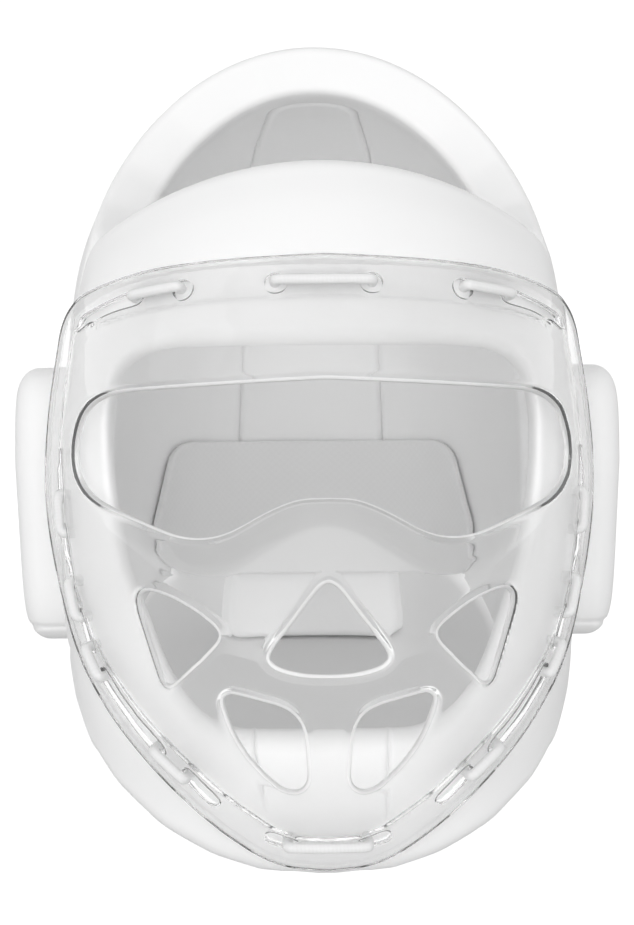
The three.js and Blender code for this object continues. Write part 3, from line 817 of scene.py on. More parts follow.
@dataclass
class Crown:
    """Rear dome with its open crown and two wings, and the tongue in the middle of its back."""

    step: float = 0.8  # it lies this far inside the brow band
    thick: float = 18.0
    radius: float = 8.0
    turns: Triple = (-118.0, 118.5, 0.85)
    climbs: Triple = (-72.0, 204.0, 1.5)
    corner: float = 8.0
    slit: float = 0.8
    slit_radius: float = 3.0  # of the edges beside the slits
    swell: float = 0.6
    swell_radii: float = 2.5  # after which the swell is reached
    notch_top: float = -14.0
    notch_half: float = 57.0
    tongue: Line = (
        (17.5, 164), (17.5, 154), (30.5, 131), (32.5, 100), (32.5, 26), (33, -12), (42, -90),
    )
    tongue_turns: Triple = (-56.0, 56.5, 0.8)
    tongue_climbs: Triple = (-100.0, 202.0, 1.5)
    tongue_rounding: float = 12.0
    tongue_swell: float = 20.0  # its own swell is reached so far inside
    tongue_top: float = 23.0  # its top edge lies so far back
    tongue_gap: float = 0.3  # from there to the rim
    wing: Line = ((-40, -67), (48, -66), (68, -55), (95, -42))
    foot_press: float = 4.0  # how far the tongue's foot is pressed flat
    foot_corner: float = 3.0

    def tongue_outline(self, grow: float) -> Array:
        """Outline of the tongue from behind, grown at its sides."""
        half = [(x + grow, z, self.tongue_rounding) for x, z in self.tongue]
        return rounded([*half, *[(-x, z, r) for x, z, r in reversed(half)]])

    def crown_trim(self, points: Array) -> Trim:
        """Edge of the crown: seam, wing and notch are well rounded, and the slit is tight.

        Args:
            points: points of the wall's grid.

        Returns:
            The trim.
        """
        x, y, z = np.moveaxis(points, -1, 0)
        notch = np.maximum(np.abs(x) - self.notch_half, z - self.notch_top)
        fields = [
            -in_front_of_seam(points),
            above_line(self.wing, y, z),
            np.where(y > 0, notch, FAR),
        ]
        depth = nearest_edge(fields, points, self.corner)
        slit = -self.inside_tongue(points, self.slit, self.tongue_gap)
        lift = self.swell * smooth_step(np.minimum(depth, slit), self.radius, self.swell_radii * self.radius)
        return trimmed([(depth, self.radius, 0.0), (slit, self.slit_radius, 0.0)], lift)

    def inside_tongue(self, points: Array, slit: float, gap: float) -> Array:
        """Depth inside the tongue's outline, grown by a slit at its sides and a gap at its top.

        Args:
            points: points of the wall's grid.
            slit: how far it is grown at its sides.
            gap: how far it is grown at its top.

        Returns:
            The depth at each point.
        """
        sides = depth_inside(self.tongue_outline(slit), points[..., 0], points[..., 2])
        top = points[..., 1] - self.tongue_top + gap
        return nearest_edge((sides, top), points, self.corner)

    def tongue_trim(self, points: Array) -> Trim:
        """Edge of the tongue: its outline, and a line just below the ground.

        Args:
            points: points of the wall's grid.

        Returns:
            The trim.
        """
        ground = STANCE.raised(points)[..., 2] + self.foot_press
        outline = self.inside_tongue(points, 0.0, 0.0)
        depth = soft_min(outline, surface_depth(ground, points), self.foot_corner)
        lift = self.swell * smooth_step(depth, self.slit_radius, self.tongue_swell)
        return trimmed([(depth, self.slit_radius, 0.0)], lift)

    def build(self, finish: Material) -> list[Piece]:
        """Builds the crown and its tongue as trimmed walls a little inside the shell's surface.

        Args:
            finish: their material.

        Returns:
            The crown and the tongue.
        """
        pieces = []
        for name, node, turns, climbs, trim in (
            ("crown_foam", "crown_shell", self.turns, self.climbs, self.crown_trim),
            ("tongue_foam", "back_tongue", self.tongue_turns, self.tongue_climbs, self.tongue_trim),
        ):
            wall = TrimmedWall(
                partial(behind, depth=self.step), np.arange(*turns), np.arange(*climbs),
                self.thick, self.slit_radius, trim,
            )
            piece = make_piece(name, wall.solid(), node, Slot.FOAM, finish)
            pieces.append(piece)
        return pieces


@dataclass
class RearStrap:
    """Flat woven panel across the inside of the wings and the tongue."""

    inset: float = 19.1  # below the shell's outer face
    thick: float = 3.2
    radius: float = 1.2
    turns: Triple = (-48.0, 48.2, 0.55)
    climbs: Triple = (-50.0, 14.0, 0.9)
    outline: tuple[Corner, ...] = ((56.5, 9, 9), (68.5, -45, 9), (-68.5, -45, 9), (-56.5, 9, 9))

    def trim(self, points: Array) -> Trim:
        """Edge of the panel: its outline."""
        inside = depth_inside(rounded(self.outline), points[..., 0], points[..., 2])
        return trimmed([(surface_depth(inside, points), self.radius, 0.0)], np.zeros(inside.shape))

    def build(self, finish: Material) -> Piece:
        """Builds the panel, whose flat pattern is in metres along and across it.

        Args:
            finish: its material.

        Returns:
            The panel.
        """
        wall = TrimmedWall(
            partial(behind, depth=self.inset), np.arange(*self.turns), np.arange(*self.climbs),
            self.thick, self.radius, self.trim, edge_steps=5,
        )
        solid = wall.solid()
        arc = SHELL.rows[:, 3].mean() - self.inset
        solid.flat = solid.flat * np.array([arc, 1.0]) * MM
        piece = make_piece("rear_strap_web", solid, "rear_strap", Slot.STRAP, finish)
        return piece


@dataclass
class EarPad:
    """Raised foam pad over an ear: a rounded oblong seen from the side, drawn in towards its outer face."""

    y: float = 9.0
    z: float = -13.9
    half_length: float = 38.0
    half_height: float = 48.9
    power: float = 5.4
    lean: float = 0.055
    root: float = 84.0
    face: float = 108.8
    draw_in: float = 10.0  # radius of the rounded outer edge
    draw_deep: float = 0.8  # depth of that edge, as a share of its radius
    dome: float = 1.2  # rise of the face's middle
    least: float = 0.06  # share to which the face's last ring shrinks
    settle: float = 8.0  # from the root, over which the lean and the lip set in
    rings: tuple[int, int, int] = (10, 12, 16)  # along the wall, around the edge and over the face
    sides: int = 300
    lip_height: float = 5.5  # of the rolled lip above the pad's foot
    lip_width: float = 0.9
    lip_fold: float = 0.8

    def build(self, side: int, name: str, node: str, finish: Material) -> Piece:
        """Builds one pad as rings from inside the shell out to the face.

        The wall runs straight out and turns in on a quarter ellipse. The last rings shrink to the middle.

        Args:
            side: 1 for the right of the picture, -1 for its left.
            name: name of the piece.
            node: node that it replaces.
            finish: its material.

        Returns:
            The pad.
        """
        wall_rings, edge_rings, face_rings = self.rings
        deep = self.draw_deep * self.draw_in
        wall = np.linspace(self.root, self.face - deep, wall_rings)[:-1]
        turn = np.linspace(0.0, math.pi / 2, edge_rings)
        cap = np.linspace(1.0, self.least, face_rings)[1:]
        level, whole = np.ones(len(cap)), np.ones(len(wall) + len(turn))
        out = np.concatenate([wall, self.face - deep + deep * np.sin(turn), self.face * level])
        inset = np.concatenate([0.0 * wall, self.draw_in * (1 - np.cos(turn)), self.draw_in * level])
        shrink = np.concatenate([whole, cap])
        crown = np.concatenate([0.0 * whole, self.dome * (1 - cap**2)])
        angle = side * np.linspace(0.0, 2 * math.pi, self.sides, endpoint=False)
        bend = 2 / self.power
        along = np.sign(np.cos(angle)) * np.abs(np.cos(angle)) ** bend
        up = np.sign(np.sin(angle)) * np.abs(np.sin(angle)) ** bend
        z = self.z + ((self.half_height - inset) * shrink)[:, None] * up
        off = z - self.z + self.half_height - self.lip_height
        lip = self.lip_fold * np.exp(-((off / self.lip_width) ** 2))
        y = self.y + ((self.half_length - inset) * shrink)[:, None] * along - lip * np.sign(along)
        settled = smooth_step(out, self.root, self.root + self.settle)[:, None]
        x = (out + crown - self.dome)[:, None] + settled * (self.lean * np.minimum(0.0, z) - lip)
        flat = np.stack(np.broadcast_arrays(y, z), -1) * MM
        solid = grid_solid(np.stack([side * x, y, z], -1), flat)
        return make_piece(name, solid, node, Slot.FOAM, finish)


# Face mask and laces


@dataclass(frozen=True)
class RimSlot:
    """A slot or hole of the mask's rim, from end to end as seen from the front."""

    start: Pair
    stop: Pair
    wide: float


@dataclass
class FaceMask:
    """Clear moulded sheet over the face: it bulges off the foam, with a ledge below the eye slot."""

    gap: float = 0.6
    thick: float = 2.2
    rounding: float = 0.4
    side_y: float = -42.0  # the side edges end here
    side_corner: float = 5.0  # rounding of the outline where they start
    flare: Pair = (65.0, 0.433)  # the rim turns out from this angle on, so much a degree
    ledge: Triple = (-8.0, 14.5, 74.0)  # height at the nose, dip beside it, half a wave
    ledge_height: float = 12.0
    ledge_corner: float = 0.8
    ledge_fade: Pair = (42.0, 80.0)
    band: Triple = (1.1, 13.2, 15.4)  # rise inside the laced band, and where it lies
    bead: Pair = (1.5, -0.5)  # width of the outer edge's strip, and its turn towards the face
    window_lip: Pair = (3.0, 0.5)
    slot_lip: Pair = (0.8, 0.0)
    turns: Triple = (-68.0, 68.1, 0.44)
    climbs: Triple = (-132.0, 69.0, 0.8)
    widest: float = math.radians(80.0)  # angle beyond the sheet's sides
    halvings: int = 40
    corrections: int = 4
    # height, bulge, further bulge below the ledge
    rows: Array = field(
        default_factory=lambda: np.array([
            (-140, 0, 0), (-129, 1, 0), (-120, 6, 0), (-110, 11, 1), (-98, 15, 2.5), (-84, 17, 4.5),
            (-70, 18, 6.5), (-58, 18, 8), (-46, 17, 9), (-30, 15.5, 10), (-11, 13, 10), (8, 12, 10),
            (26, 10, 10), (36, 7.5, 10), (48, 3.5, 10), (60, 0.5, 10), (74, 0, 10),
        ], float)
    )
    # height, half width over which the surface falls back to the foam
    reach: Array = field(
        default_factory=lambda: np.array([
            (-129, 14), (-112, 40), (-85, 68), (-62, 84.5), (-10, 95), (28, 95), (53, 86), (66, 60),
        ], float)
    )
    outline: tuple[Corner, ...] = (
        (0, 66.6, 0), (50, 64.2, 60), (72, 60, 20), (87, 55, 14), (96, 26, 20), (95.5, -14, 40),
        (84, -60, 40), (67.5, -85.5, 40), (41, -112, 30), (17.5, -128.5, 12), (0, -130, 0),
    )
    eye_slot: tuple[Corner, ...] = (
        (0, 26, 0), (75.2, 22.5, 14), (82.3, 6, 12), (78, -9.5, 10), (38, -26.5, 14), (12, -11.3, 16),
        (0, -11, 0),
    )
    nose_hole: tuple[Corner, ...] = (
        (0, -36.4, 0), (2.4, -37.4, 2), (20.0, -60.6, 5), (10, -64.2, 9), (0, -64.5, 0),
    )
    cheek_hole: tuple[Corner, ...] = (
        (60.5, -38.4, 9), (46, -41.6, 14), (31.5, -52.4, 5), (42, -62.6, 14), (50, -70.6, 4),
    )
    mouth_hole: tuple[Corner, ...] = (
        (33.8, -69.5, 6), (8, -76, 9), (6.2, -100.5, 6), (13, -102, 5), (27.5, -88, 14),
    )
    slots: tuple[RimSlot, ...] = (
        RimSlot((15.3, 57.2), (15.5, 57.2), 7.4),
        RimSlot((45.1, 55.7), (45.3, 55.7), 7.4),
        RimSlot((60.1, 54.2), (80.8, 46.8), 5.0),
        RimSlot((87.4, 3), (86.4, -11), 4.8),
        RimSlot((85.4, -22), (82.2, -39.5), 4.8),
        RimSlot((79.6, -49.5), (76, -60), 4.8),
        RimSlot((72, -68), (53, -91), 4.8),
        RimSlot((44.5, -98), (36, -106.5), 4.8),
        RimSlot((18, -118.2), (12, -119.6), 5.2),
    )

    def base(self, turn: Array, z: Array) -> Array:
        """Surface from which the mask's thickness is measured, by the angle about the middle and the height.

        It is the foam's surface, moved out at the sides by the flare and forwards by the bulge. The bulge
        falls to nothing as 1 - (x / reach) squared. Below the wavy ledge line it grows by the ledge's own
        depth.

        Args:
            turn: angles about the middle.
            z: heights.

        Returns:
            The points.
        """
        foam = SHELL.at(turn, z)
        half, front, _, power = SHELL.section(z)
        across = np.abs(foam[..., 0] / half) ** (power / 2)
        along = np.abs((foam[..., 1] - SHELL.centre_y) / front) ** (power / 2)
        start, rate = self.flare
        turned = np.maximum(0.0, np.degrees(np.arctan2(across, along)) - start) * rate
        x = foam[..., 0] + np.sign(turn) * turned
        inside = np.maximum(0.0, 1.0 - (x / smooth_column(z, self.reach, 1)) ** 2)
        nose, dip, wave = self.ledge
        line = nose - dip * np.sin(math.pi * np.minimum(np.abs(x), wave) / wave) ** 2
        below = soft_ramp(line - z, self.ledge_height, self.ledge_corner)
        below = below * (1.0 - smooth_step(np.abs(x), *self.ledge_fade))
        bulge = smooth_column(z, self.rows, 1) + below * smooth_column(z, self.rows, 2)
        return np.stack([x, foam[..., 1] - bulge * inside, z], -1)

    def raised(self, turn: Array, z: Array, height: float) -> Array:
        """Surface at a height above the base."""
        return self.base(turn, z) + height * normals_of(self.base, turn, z)

    def outer(self, turn: Array, z: Array) -> Array:
        """Outer face of the sheet."""
        return self.raised(turn, z, self.gap + self.thick)

    def turn_at(self, x: Array, z: Array) -> Array:
        """Angle at which the base shows at x from the front, found by halving.

        Args:
            x: places across.
            z: heights.

        Returns:
            The angles.
        """
        low, high = np.zeros_like(x), np.full_like(x, self.widest)
        for _ in range(self.halvings):
            middle = (low + high) / 2
            beyond = self.base(middle, z)[..., 0] > np.abs(x)
            low, high = np.where(beyond, low, middle), np.where(beyond, middle, high)
        return np.sign(x) * (low + high) / 2

    def seat(self, x: Array, z: Array) -> tuple[Array, Array]:
        """Where on the base the outer face shows at x and z from the front, found in steps.

        Args:
            x: places across, from the front.
            z: heights, from the front.

        Returns:
            The angles and heights on the base.
        """
        wanted = np.stack([x, z], -1).astype(float)
        held = wanted.copy()
        for _ in range(self.corrections):
            shown = self.outer(self.turn_at(held[..., 0], held[..., 1]), held[..., 1])
            held += wanted - shown[..., ::2]
        return self.turn_at(held[..., 0], held[..., 1]), held[..., 1]

    def slot_depth(self, points: Array) -> Array:
        """Distance outside the nearest slot of the rim, each a capsule about the line between its ends.

        Args:
            points: points of the wall's grid.

        Returns:
            The distance at each point.
        """
        ends = np.array([(*slot.start, *slot.stop) for slot in self.slots], float)
        wide = np.array([slot.wide for slot in self.slots])
        ends = np.concatenate([ends, ends * np.array([-1.0, 1.0, -1.0, 1.0])])
        start, stop = (self.outer(*self.seat(ends[:, k], ends[:, k + 1])) for k in (0, 2))
        least = np.full(points.shape[:-1], np.inf)
        for first, last, half in zip(start, stop, np.tile(wide / 2, 2)):
            line = last - first
            t = np.clip((points - first) @ line / (line @ line), 0.0, 1.0)
            off = np.linalg.norm(points - first - t[..., None] * line, axis=-1)
            least = np.minimum(least, off - half)
        return least

    def window_depth(self, points: Array) -> Array:
        """Distance outside the nearest of the eye slot and the nose, cheek and mouth holes.

        Args:
            points: points of the wall's grid.

        Returns:
            The distance at each point.
        """
        x, _, z = np.moveaxis(points, -1, 0)
        outlines = [rounded(mirrored(half)) for half in (self.eye_slot, self.nose_hole)]
        for half in (self.cheek_hole, self.mouth_hole):
            outlines += [rounded(half), rounded([(-a, b, r) for a, b, r in half])]
        windows = [surface_depth(-depth_inside(outline, x, z), points) for outline in outlines]
        return np.minimum.reduce(windows)

    def trim(self, points: Array) -> Trim:
        """Edges of the sheet: a beaded rim, windows with turned-in lips, and slots; its middle is raised.

        Args:
            points: points of the wall's grid.

        Returns:
            The trim.
        """
        x, y, z = np.moveaxis(points, -1, 0)
        front = depth_inside(rounded(mirrored(self.outline)), x, z)
        rim = nearest_edge((front, self.side_y - y), points, self.side_corner)
        rise, start, end = self.band
        edges = [
            (rim, *self.bead),
            (self.window_depth(points), *self.window_lip),
            (self.slot_depth(points), *self.slot_lip),
        ]
        return trimmed(edges, rise * smooth_step(rim, start, end))

    def build(self, *finishes: Material) -> Piece:
        """Builds the sheet as a trimmed wall on its outer face, with a finish for it and one for its lips."""
        wall = TrimmedWall(
            self.outer, np.arange(*self.turns), np.arange(*self.climbs),
            self.thick, self.rounding, self.trim, strip_steps=4, edge_steps=2, smoothing=6, thinning=1.6,
        )
        return make_piece("face_mask_clear", wall.solid(), "face_mask", Slot.MASK, *finishes)


@dataclass
class Lace:
    """A cord that passes in and out through the mask's rim and the foam, from end to end."""

    mask: FaceMask
    radius: float = 1.7
    lift: float = 0.6  # clear of what it lies on
    turning: float = 7.5  # how deep in the foam it turns back
    steps: int = 75  # of the spacing in which that depth is looked for
    straight: Pair = (0.35, 0.6)  # it passes straight back where the mask faces the front by so much
    end_share: float = 0.55  # its ends stop at this share of the way into the foam
    spacing: float = 0.5
    rounds: int = 16  # of smoothing, which turns the corners into bends
    sides: int = 20
    middle: Triple = (0.0, -112.0, -30.0)

    def passes(self, half: Sequence[Pair]) -> tuple[Array, Array, Array]:
        """Where the cord passes through, from the left end to the right.

        Args:
            half: places of the passes on one side from the front, from the middle outwards.

        Returns:
            The places, the points in front of the mask, and the points inside the foam.
        """
        right = np.array(half, float)
        places = np.concatenate([right[::-1] * np.array([-1.0, 1.0]), right])
        turn, height = self.mask.seat(places[:, 0], places[:, 1])
        base = self.mask.base(turn, height)
        normal = normals_of(self.mask.base, turn, height)
        front = base + (self.mask.gap + self.mask.thick + self.lift + self.radius) * normal
        straight = smooth_step(-normal[:, 1:2], *self.straight)
        inward = unit(straight * np.array([0.0, 1.0, 0.0]) - (1.0 - straight) * normal)
        back = base.copy()
        for _ in range(self.steps):
            back += self.spacing * inward * self.outside(back)[:, None]
        for end in (0, -1):
            back[end] = front[end] + self.end_share * (back[end] - front[end])
        return places, front, back

    def outside(self, points: Array) -> Array:
        """1 where a point isn't yet as deep in the foam as the cord goes, else 0.

        Args:
            points: points in the head's frame.

        Returns:
            1 or 0 for each point.
        """
        half, front, _, power = SHELL.section(points[:, 2])
        across = np.abs(points[:, 0] / (half - self.turning)) ** power
        along = np.abs((points[:, 1] - SHELL.centre_y) / (front - self.turning)) ** power
        return (across + along > 1.0).astype(float)

    def route(self, half: Sequence[Pair]) -> Array:
        """Corner points of the cord: out at even passes, over the mask, in at odd ones, along the inside.

        Args:
            half: places of the passes on one side from the front, from the middle outwards.

        Returns:
            The corner points in order.
        """
        places, front, back = self.passes(half)
        between = (places[::2] + places[1::2]) / 2
        turn, height = self.mask.seat(between[:, 0], between[:, 1])
        over = self.mask.raised(turn, height, self.mask.gap + self.mask.thick + self.lift + self.radius)
        return np.stack([back[::2], front[::2], over, front[1::2], back[1::2]], 1).reshape(-1, 3)

    def line(self, half: Sequence[Pair]) -> Array:
        """Centre line in even steps, smoothed by moving each point half way to its neighbours' middle.

        Args:
            half: places of the passes on one side from the front, from the middle outwards.

        Returns:
            The line's points.
        """
        route = self.route(half)
        far = np.concatenate([[0.0], np.cumsum(np.linalg.norm(np.diff(route, axis=0), axis=1))])
        even = np.linspace(0.0, far[-1], int(far[-1] / self.spacing))
        line = np.stack([np.interp(even, far, route[:, k]) for k in range(3)], -1)
        for _ in range(self.rounds):
            line[1:-1] += 0.5 * ((line[2:] + line[:-2]) / 2 - line[1:-1])
        return line

    def build(self, half: Sequence[Pair], name: str, node: str, finish: Material) -> Piece:
        """Builds the cord as a tube.

        Args:
            half: places of its passes on one side.
            name: name of the piece.
            node: node that it replaces.
            finish: its material.

        Returns:
            The cord, whose flat pattern is metres along it and turns around it.
        """
        line = self.line(half)
        ahead = unit(np.gradient(line, axis=0))
        inward = np.array(self.middle) - line
        across = unit(inward - (inward * ahead).sum(1, keepdims=True) * ahead)
        up = np.cross(ahead, across)
        angle = np.linspace(0.0, 2 * math.pi, self.sides, endpoint=False)
        spoke = np.cos(angle)[None, :, None] * across[:, None] + np.sin(angle)[None, :, None] * up[:, None]
        rings = line[:, None] + self.radius * spoke
        along = np.concatenate([[0.0], np.cumsum(np.linalg.norm(np.diff(line, axis=0), axis=1))]) * MM
        flat = np.stack(np.broadcast_arrays(along[:, None], angle[None] / (2 * math.pi)), -1)
        return make_piece(name, grid_solid(rings, flat), node, Slot.LACE, finish)


# passes of both laces on one side from the front, from the middle outwards
TOP_LACE = ((15.4, 57.2), (45.2, 56.0), (60.6, 54.0))
LOWER_LACE = (
    (12.6, -119.5), (43.9, -98.6), (53.6, -90.2), (71.4, -68.8), (76.2, -59.4), (79.3, -50.3), (82.4, -38.6),
    (85.2, -23.0), (86.5, -10.0),
)


# Finishes


class Nodes:
    """Adds nodes to a tree and links them."""

    def __init__(self, tree: Tree) -> None:
        """Takes the tree to add to."""
        self.tree = tree

    def add(self, kind: str, inputs: dict | None = None, **settings: object) -> bpy.types.Node:
        """Adds a node.

        Args:
            kind: type of the node.
            inputs: a value or a socket for each input, by name or number.
            settings: the node's own properties.

        Returns:
            The node.
        """
        node = self.tree.nodes.new(kind)
        for key, value in settings.items():
            setattr(node, key, value)
        for key, value in (inputs or {}).items():
            if isinstance(value, Socket):
                self.tree.links.new(value, node.inputs[key])
            else:
                node.inputs[key].default_value = value
        return node

    def math(self, operation: str, *values: object) -> Socket:
        """Result of a Math node on values or sockets."""
        return self.add("ShaderNodeMath", dict(enumerate(values)), operation=operation).outputs[0]

    def vector(self, operation: str, output: str, *values: object) -> Socket:
        """An output of a Vector Math node on values or sockets."""
        return self.add("ShaderNodeVectorMath", dict(enumerate(values)), operation=operation).outputs[output]

    def spread(self, value: Socket, to: Pair, start: Pair = (0.0, 1.0), shape: str = "LINEAR") -> Socket:
        """A value from one range spread over another.

        Args:
            value: the value.
            to: both ends of the new range.
            start: both ends of the range that it comes from.
            shape: how it runs between them.

        Returns:
            The new value.
        """
        ends = dict(zip(("From Min", "From Max", "To Min", "To Max"), (*start, *to)))
        node = self.add("ShaderNodeMapRange", {"Value": value, **ends}, interpolation_type=shape)
        return node.outputs["Result"]

    def grey(self, tone: Socket) -> Socket:
        """Colour of a grey tone."""
        parts = dict.fromkeys(("Red", "Green", "Blue"), tone)
        return self.add("ShaderNodeCombineColor", parts).outputs["Color"]

    def surface(self, inputs: dict) -> None:
        """Ends a material with the main shader."""
        shader = self.add("ShaderNodeBsdfPrincipled", inputs)
        self.add("ShaderNodeOutputMaterial", {"Surface": shader.outputs["BSDF"]})


def group_tree(name: str, inputs: dict[str, str], outputs: dict[str, str]) -> tuple[Tree, Nodes]:
    """New shader node group.

    Args:
        name: name of the group.
        inputs: socket type of each input by name.
        outputs: socket type of each output by name.

    Returns:
        The group and a builder for it.
    """
    tree = bpy.data.node_groups.new(name, "ShaderNodeTree")
    for sockets, way in ((inputs, "INPUT"), (outputs, "OUTPUT")):
        for label, kind in sockets.items():
            tree.interface.new_socket(label, in_out=way, socket_type=kind)
    return tree, Nodes(tree)


def grain_group() -> Tree:
    """Skin of a soft surface: a fine grain for its height, and slow patches for its tone.

    Returns:
        The group.
    """
    tree, nodes = group_tree(
        "Grain",
        {"Place": "NodeSocketVector", "Scale": "NodeSocketFloat"},
        {"Height": "NodeSocketFloat", "Tone": "NodeSocketFloat"},
    )
    given = nodes.add("NodeGroupInput").outputs
    slow = nodes.math("MULTIPLY", given["Scale"], SLOW_GRAIN)
    height, tone = (
        nodes.add(
            "ShaderNodeTexNoise",
            {"Vector": given["Place"], "Scale": scale, "Detail": detail, "Roughness": roughness},
        )
        for scale, detail, roughness in ((given["Scale"], 3.0, 0.55), (slow, 2.0, 0.5))
    )
    nodes.add("NodeGroupOutput", {"Height": height.outputs["Fac"], "Tone": tone.outputs["Fac"]})
    return tree


def weave_group() -> Tree:
    """Crossing yarns: the height is half of 1 plus the product of two sines, one of each phase.

    Returns:
        The group.
    """
    tree, nodes = group_tree(
        "Weave",
        {"First": "NodeSocketFloat", "Second": "NodeSocketFloat"},
        {"Height": "NodeSocketFloat"},
    )
    given = nodes.add("NodeGroupInput").outputs
    product = nodes.math("MULTIPLY", *(nodes.math("SINE", given[phase]) for phase in ("First", "Second")))
    height = nodes.math("MULTIPLY_ADD", product, 0.5, 0.5)
    nodes.add("NodeGroupOutput", {"Height": height})
    return tree


@dataclass
class Effects:
    """Node groups that more than one finish uses."""

    grain: Tree = field(default_factory=grain_group)
    weave: Tree = field(default_factory=weave_group)

    def skin(self, nodes: Nodes, scale: float) -> bpy.types.Node:
        """The grain group on the piece's own coordinates."""
        place = nodes.add("ShaderNodeTexCoord").outputs["Object"]
        return nodes.add("ShaderNodeGroup", {"Place": place, "Scale": scale}, node_tree=self.grain)


@dataclass(frozen=True)
class Finish:
    """A finish of the guard, which each kind lays in its own way."""

    name: str

    def material(self, effects: Effects) -> Material:
        """Builds the material of the finish.

        Args:
            effects: the shared node groups.

        Returns:
            The material.
        """
        material = bpy.data.materials.new(self.name)
        material.use_nodes = True
        material.node_tree.nodes.clear()
        self.lay(Nodes(material.node_tree), effects)
        return material

    def lay(self, nodes: Nodes, effects: Effects) -> None:
        """Adds the nodes of the finish to its material."""
        raise NotImplementedError


@dataclass(frozen=True)
class Soft(Finish):
    """A finish with a grey tone and a fine relief."""

    grain: float  # scale of its skin
    tones: Pair
    bump: Pair  # strength and depth of the relief

    def coat(self, nodes: Nodes, tone: Socket, height: Socket, inputs: dict) -> None:
        """Ends the material.

        Args:
            nodes: builder of the material.
            tone: its grey.
            height: height of its relief.
            inputs: what else its shader takes.
        """
        strength, distance = self.bump
        relief = nodes.add("ShaderNodeBump", {"Height": height, "Strength": strength, "Distance": distance})
        nodes.surface({"Base Color": nodes.grey(tone), "Normal": relief.outputs["Normal"], **inputs})


@dataclass(frozen=True)
class DippedFoam(Soft):
    """White dipped foam: a smooth skin with a fine grain and slightly uneven gloss."""

    gloss: Pair

    def lay(self, nodes: Nodes, effects: Effects) -> None:
        """Adds the skin, whose slow patches change the tone and the gloss.

        Args:
            nodes: builder of the material.
            effects: the shared node groups.
        """
        skin = effects.skin(nodes, self.grain).outputs
        tone, gloss = (nodes.spread(skin["Tone"], ends) for ends in (self.tones, self.gloss))
        depth = {"Subsurface Weight": 0.1, "Subsurface Radius": (1.0, 1.0, 1.0), "Subsurface Scale": 0.002}
        self.coat(nodes, tone, skin["Height"], {"Roughness": gloss, **depth})


@dataclass(frozen=True)
class Cloth(Soft):
    """White woven panel or cord, whose yarns run along its flat pattern and across it."""

    pitch: Pair  # from yarn to yarn both ways on the flat pattern
    winding: bool  # whether the yarns wind both ways around a cord instead
    relief: float  # painted shade and highlight: how much lighter the yarns' tops are painted than the shaded gaps between them
    roughness: float

    def lay(self, nodes: Nodes, effects: Effects) -> None:
        """Adds the yarns' relief, and paints the gaps between the yarns a little darker as shade, over slow
        patches of tone.

        Args:
            nodes: builder of the material.
            effects: the shared node groups.
        """
        flat = nodes.add("ShaderNodeUVMap", uv_map="Flat").outputs["UV"]
        ways = nodes.add("ShaderNodeSeparateXYZ", {"Vector": flat}).outputs
        phases = [nodes.math("MULTIPLY", ways[k], 2 * math.pi / self.pitch[k]) for k in (0, 1)]
        if self.winding:
            phases = [nodes.math(sign, *phases) for sign in ("ADD", "SUBTRACT")]
        yarns = dict(zip(("First", "Second"), phases))
        height = nodes.add("ShaderNodeGroup", yarns, node_tree=effects.weave).outputs["Height"]
        patches = nodes.spread(effects.skin(nodes, self.grain).outputs["Tone"], self.tones)
        # painted shade: the tone follows the yarns' height, darker in the gaps between them
        tone = nodes.math("MULTIPLY_ADD", height, self.relief, patches)
        self.coat(nodes, tone, height, {"Roughness": self.roughness})


@dataclass(frozen=True)
class Plastic(Finish):
    """Clear plastic of the mask, which lets light through to what lies behind it."""

    roughness: float
    clear: float  # share of the light that passes into it
    tone: tuple[float, ...] = (0.99, 0.99, 0.99, 1.0)
    bending: float = 1.5

    def lay(self, nodes: Nodes, effects: Effects) -> None:
        """Adds the plastic, and nothing in its place for the rays that look for shadows.

        Args:
            nodes: builder of the material.
            effects: the shared node groups; not used.
        """
        plastic = nodes.add(
            "ShaderNodeBsdfPrincipled",
            {
                "Base Color": self.tone, "Roughness": self.roughness, "IOR": self.bending,
                "Transmission Weight": self.clear,
            },
        )
        through = nodes.add("ShaderNodeBsdfTransparent", {"Color": WHITE})
        shadow = nodes.add("ShaderNodeLightPath").outputs["Is Shadow Ray"]
        both = nodes.add(
            "ShaderNodeMixShader", {0: shadow, 1: plastic.outputs["BSDF"], 2: through.outputs["BSDF"]}
        )
        nodes.add("ShaderNodeOutputMaterial", {"Surface": both.outputs["Shader"]})


@dataclass(frozen=True)
class Ground(Finish):
    """White ground: it glows where it is looked at, and not in an oval below the guard, which is painted shade:
    darker for want of glow, and real shadows fall in it too.
    """

    shade_middle: Triple = (0.0, 0.09, 0.0)  # of the oval of painted shade below the guard
    shade_half: Triple = (0.085, 0.14, 1.0)
    shade_end: Pair = (0.85, 1.05)  # shares of its size between which that shade ends
    tones: Pair = (0.8, 0.1)  # in that shade and around it
    light: float = 0.42  # how much of the glow lights the guard
    roughness: float = 0.9

    def lay(self, nodes: Nodes, effects: Effects) -> None:
        """Adds the oval of painted shade and the glow around it.

        Args:
            nodes: builder of the material.
            effects: the shared node groups; not used.
        """
        place = nodes.add("ShaderNodeTexCoord").outputs["Object"]
        moved = nodes.vector("SUBTRACT", "Vector", place, self.shade_middle)
        oval = nodes.vector("DIVIDE", "Vector", moved, self.shade_half)
        # painted shade: the glow is cut out in an oval below the guard
        clear = nodes.spread(nodes.vector("LENGTH", "Value", oval), (0.0, 1.0), self.shade_end)
        path = nodes.add("ShaderNodeLightPath").outputs
        seen = nodes.math("MAXIMUM", path["Is Camera Ray"], path["Is Transmission Ray"])
        nodes.surface({
            "Base Color": nodes.grey(nodes.spread(clear, self.tones)),
            "Roughness": self.roughness,
            "Emission Color": WHITE,
            "Emission Strength": nodes.math("MULTIPLY", clear, nodes.spread(seen, (self.light, 1.0))),
        })


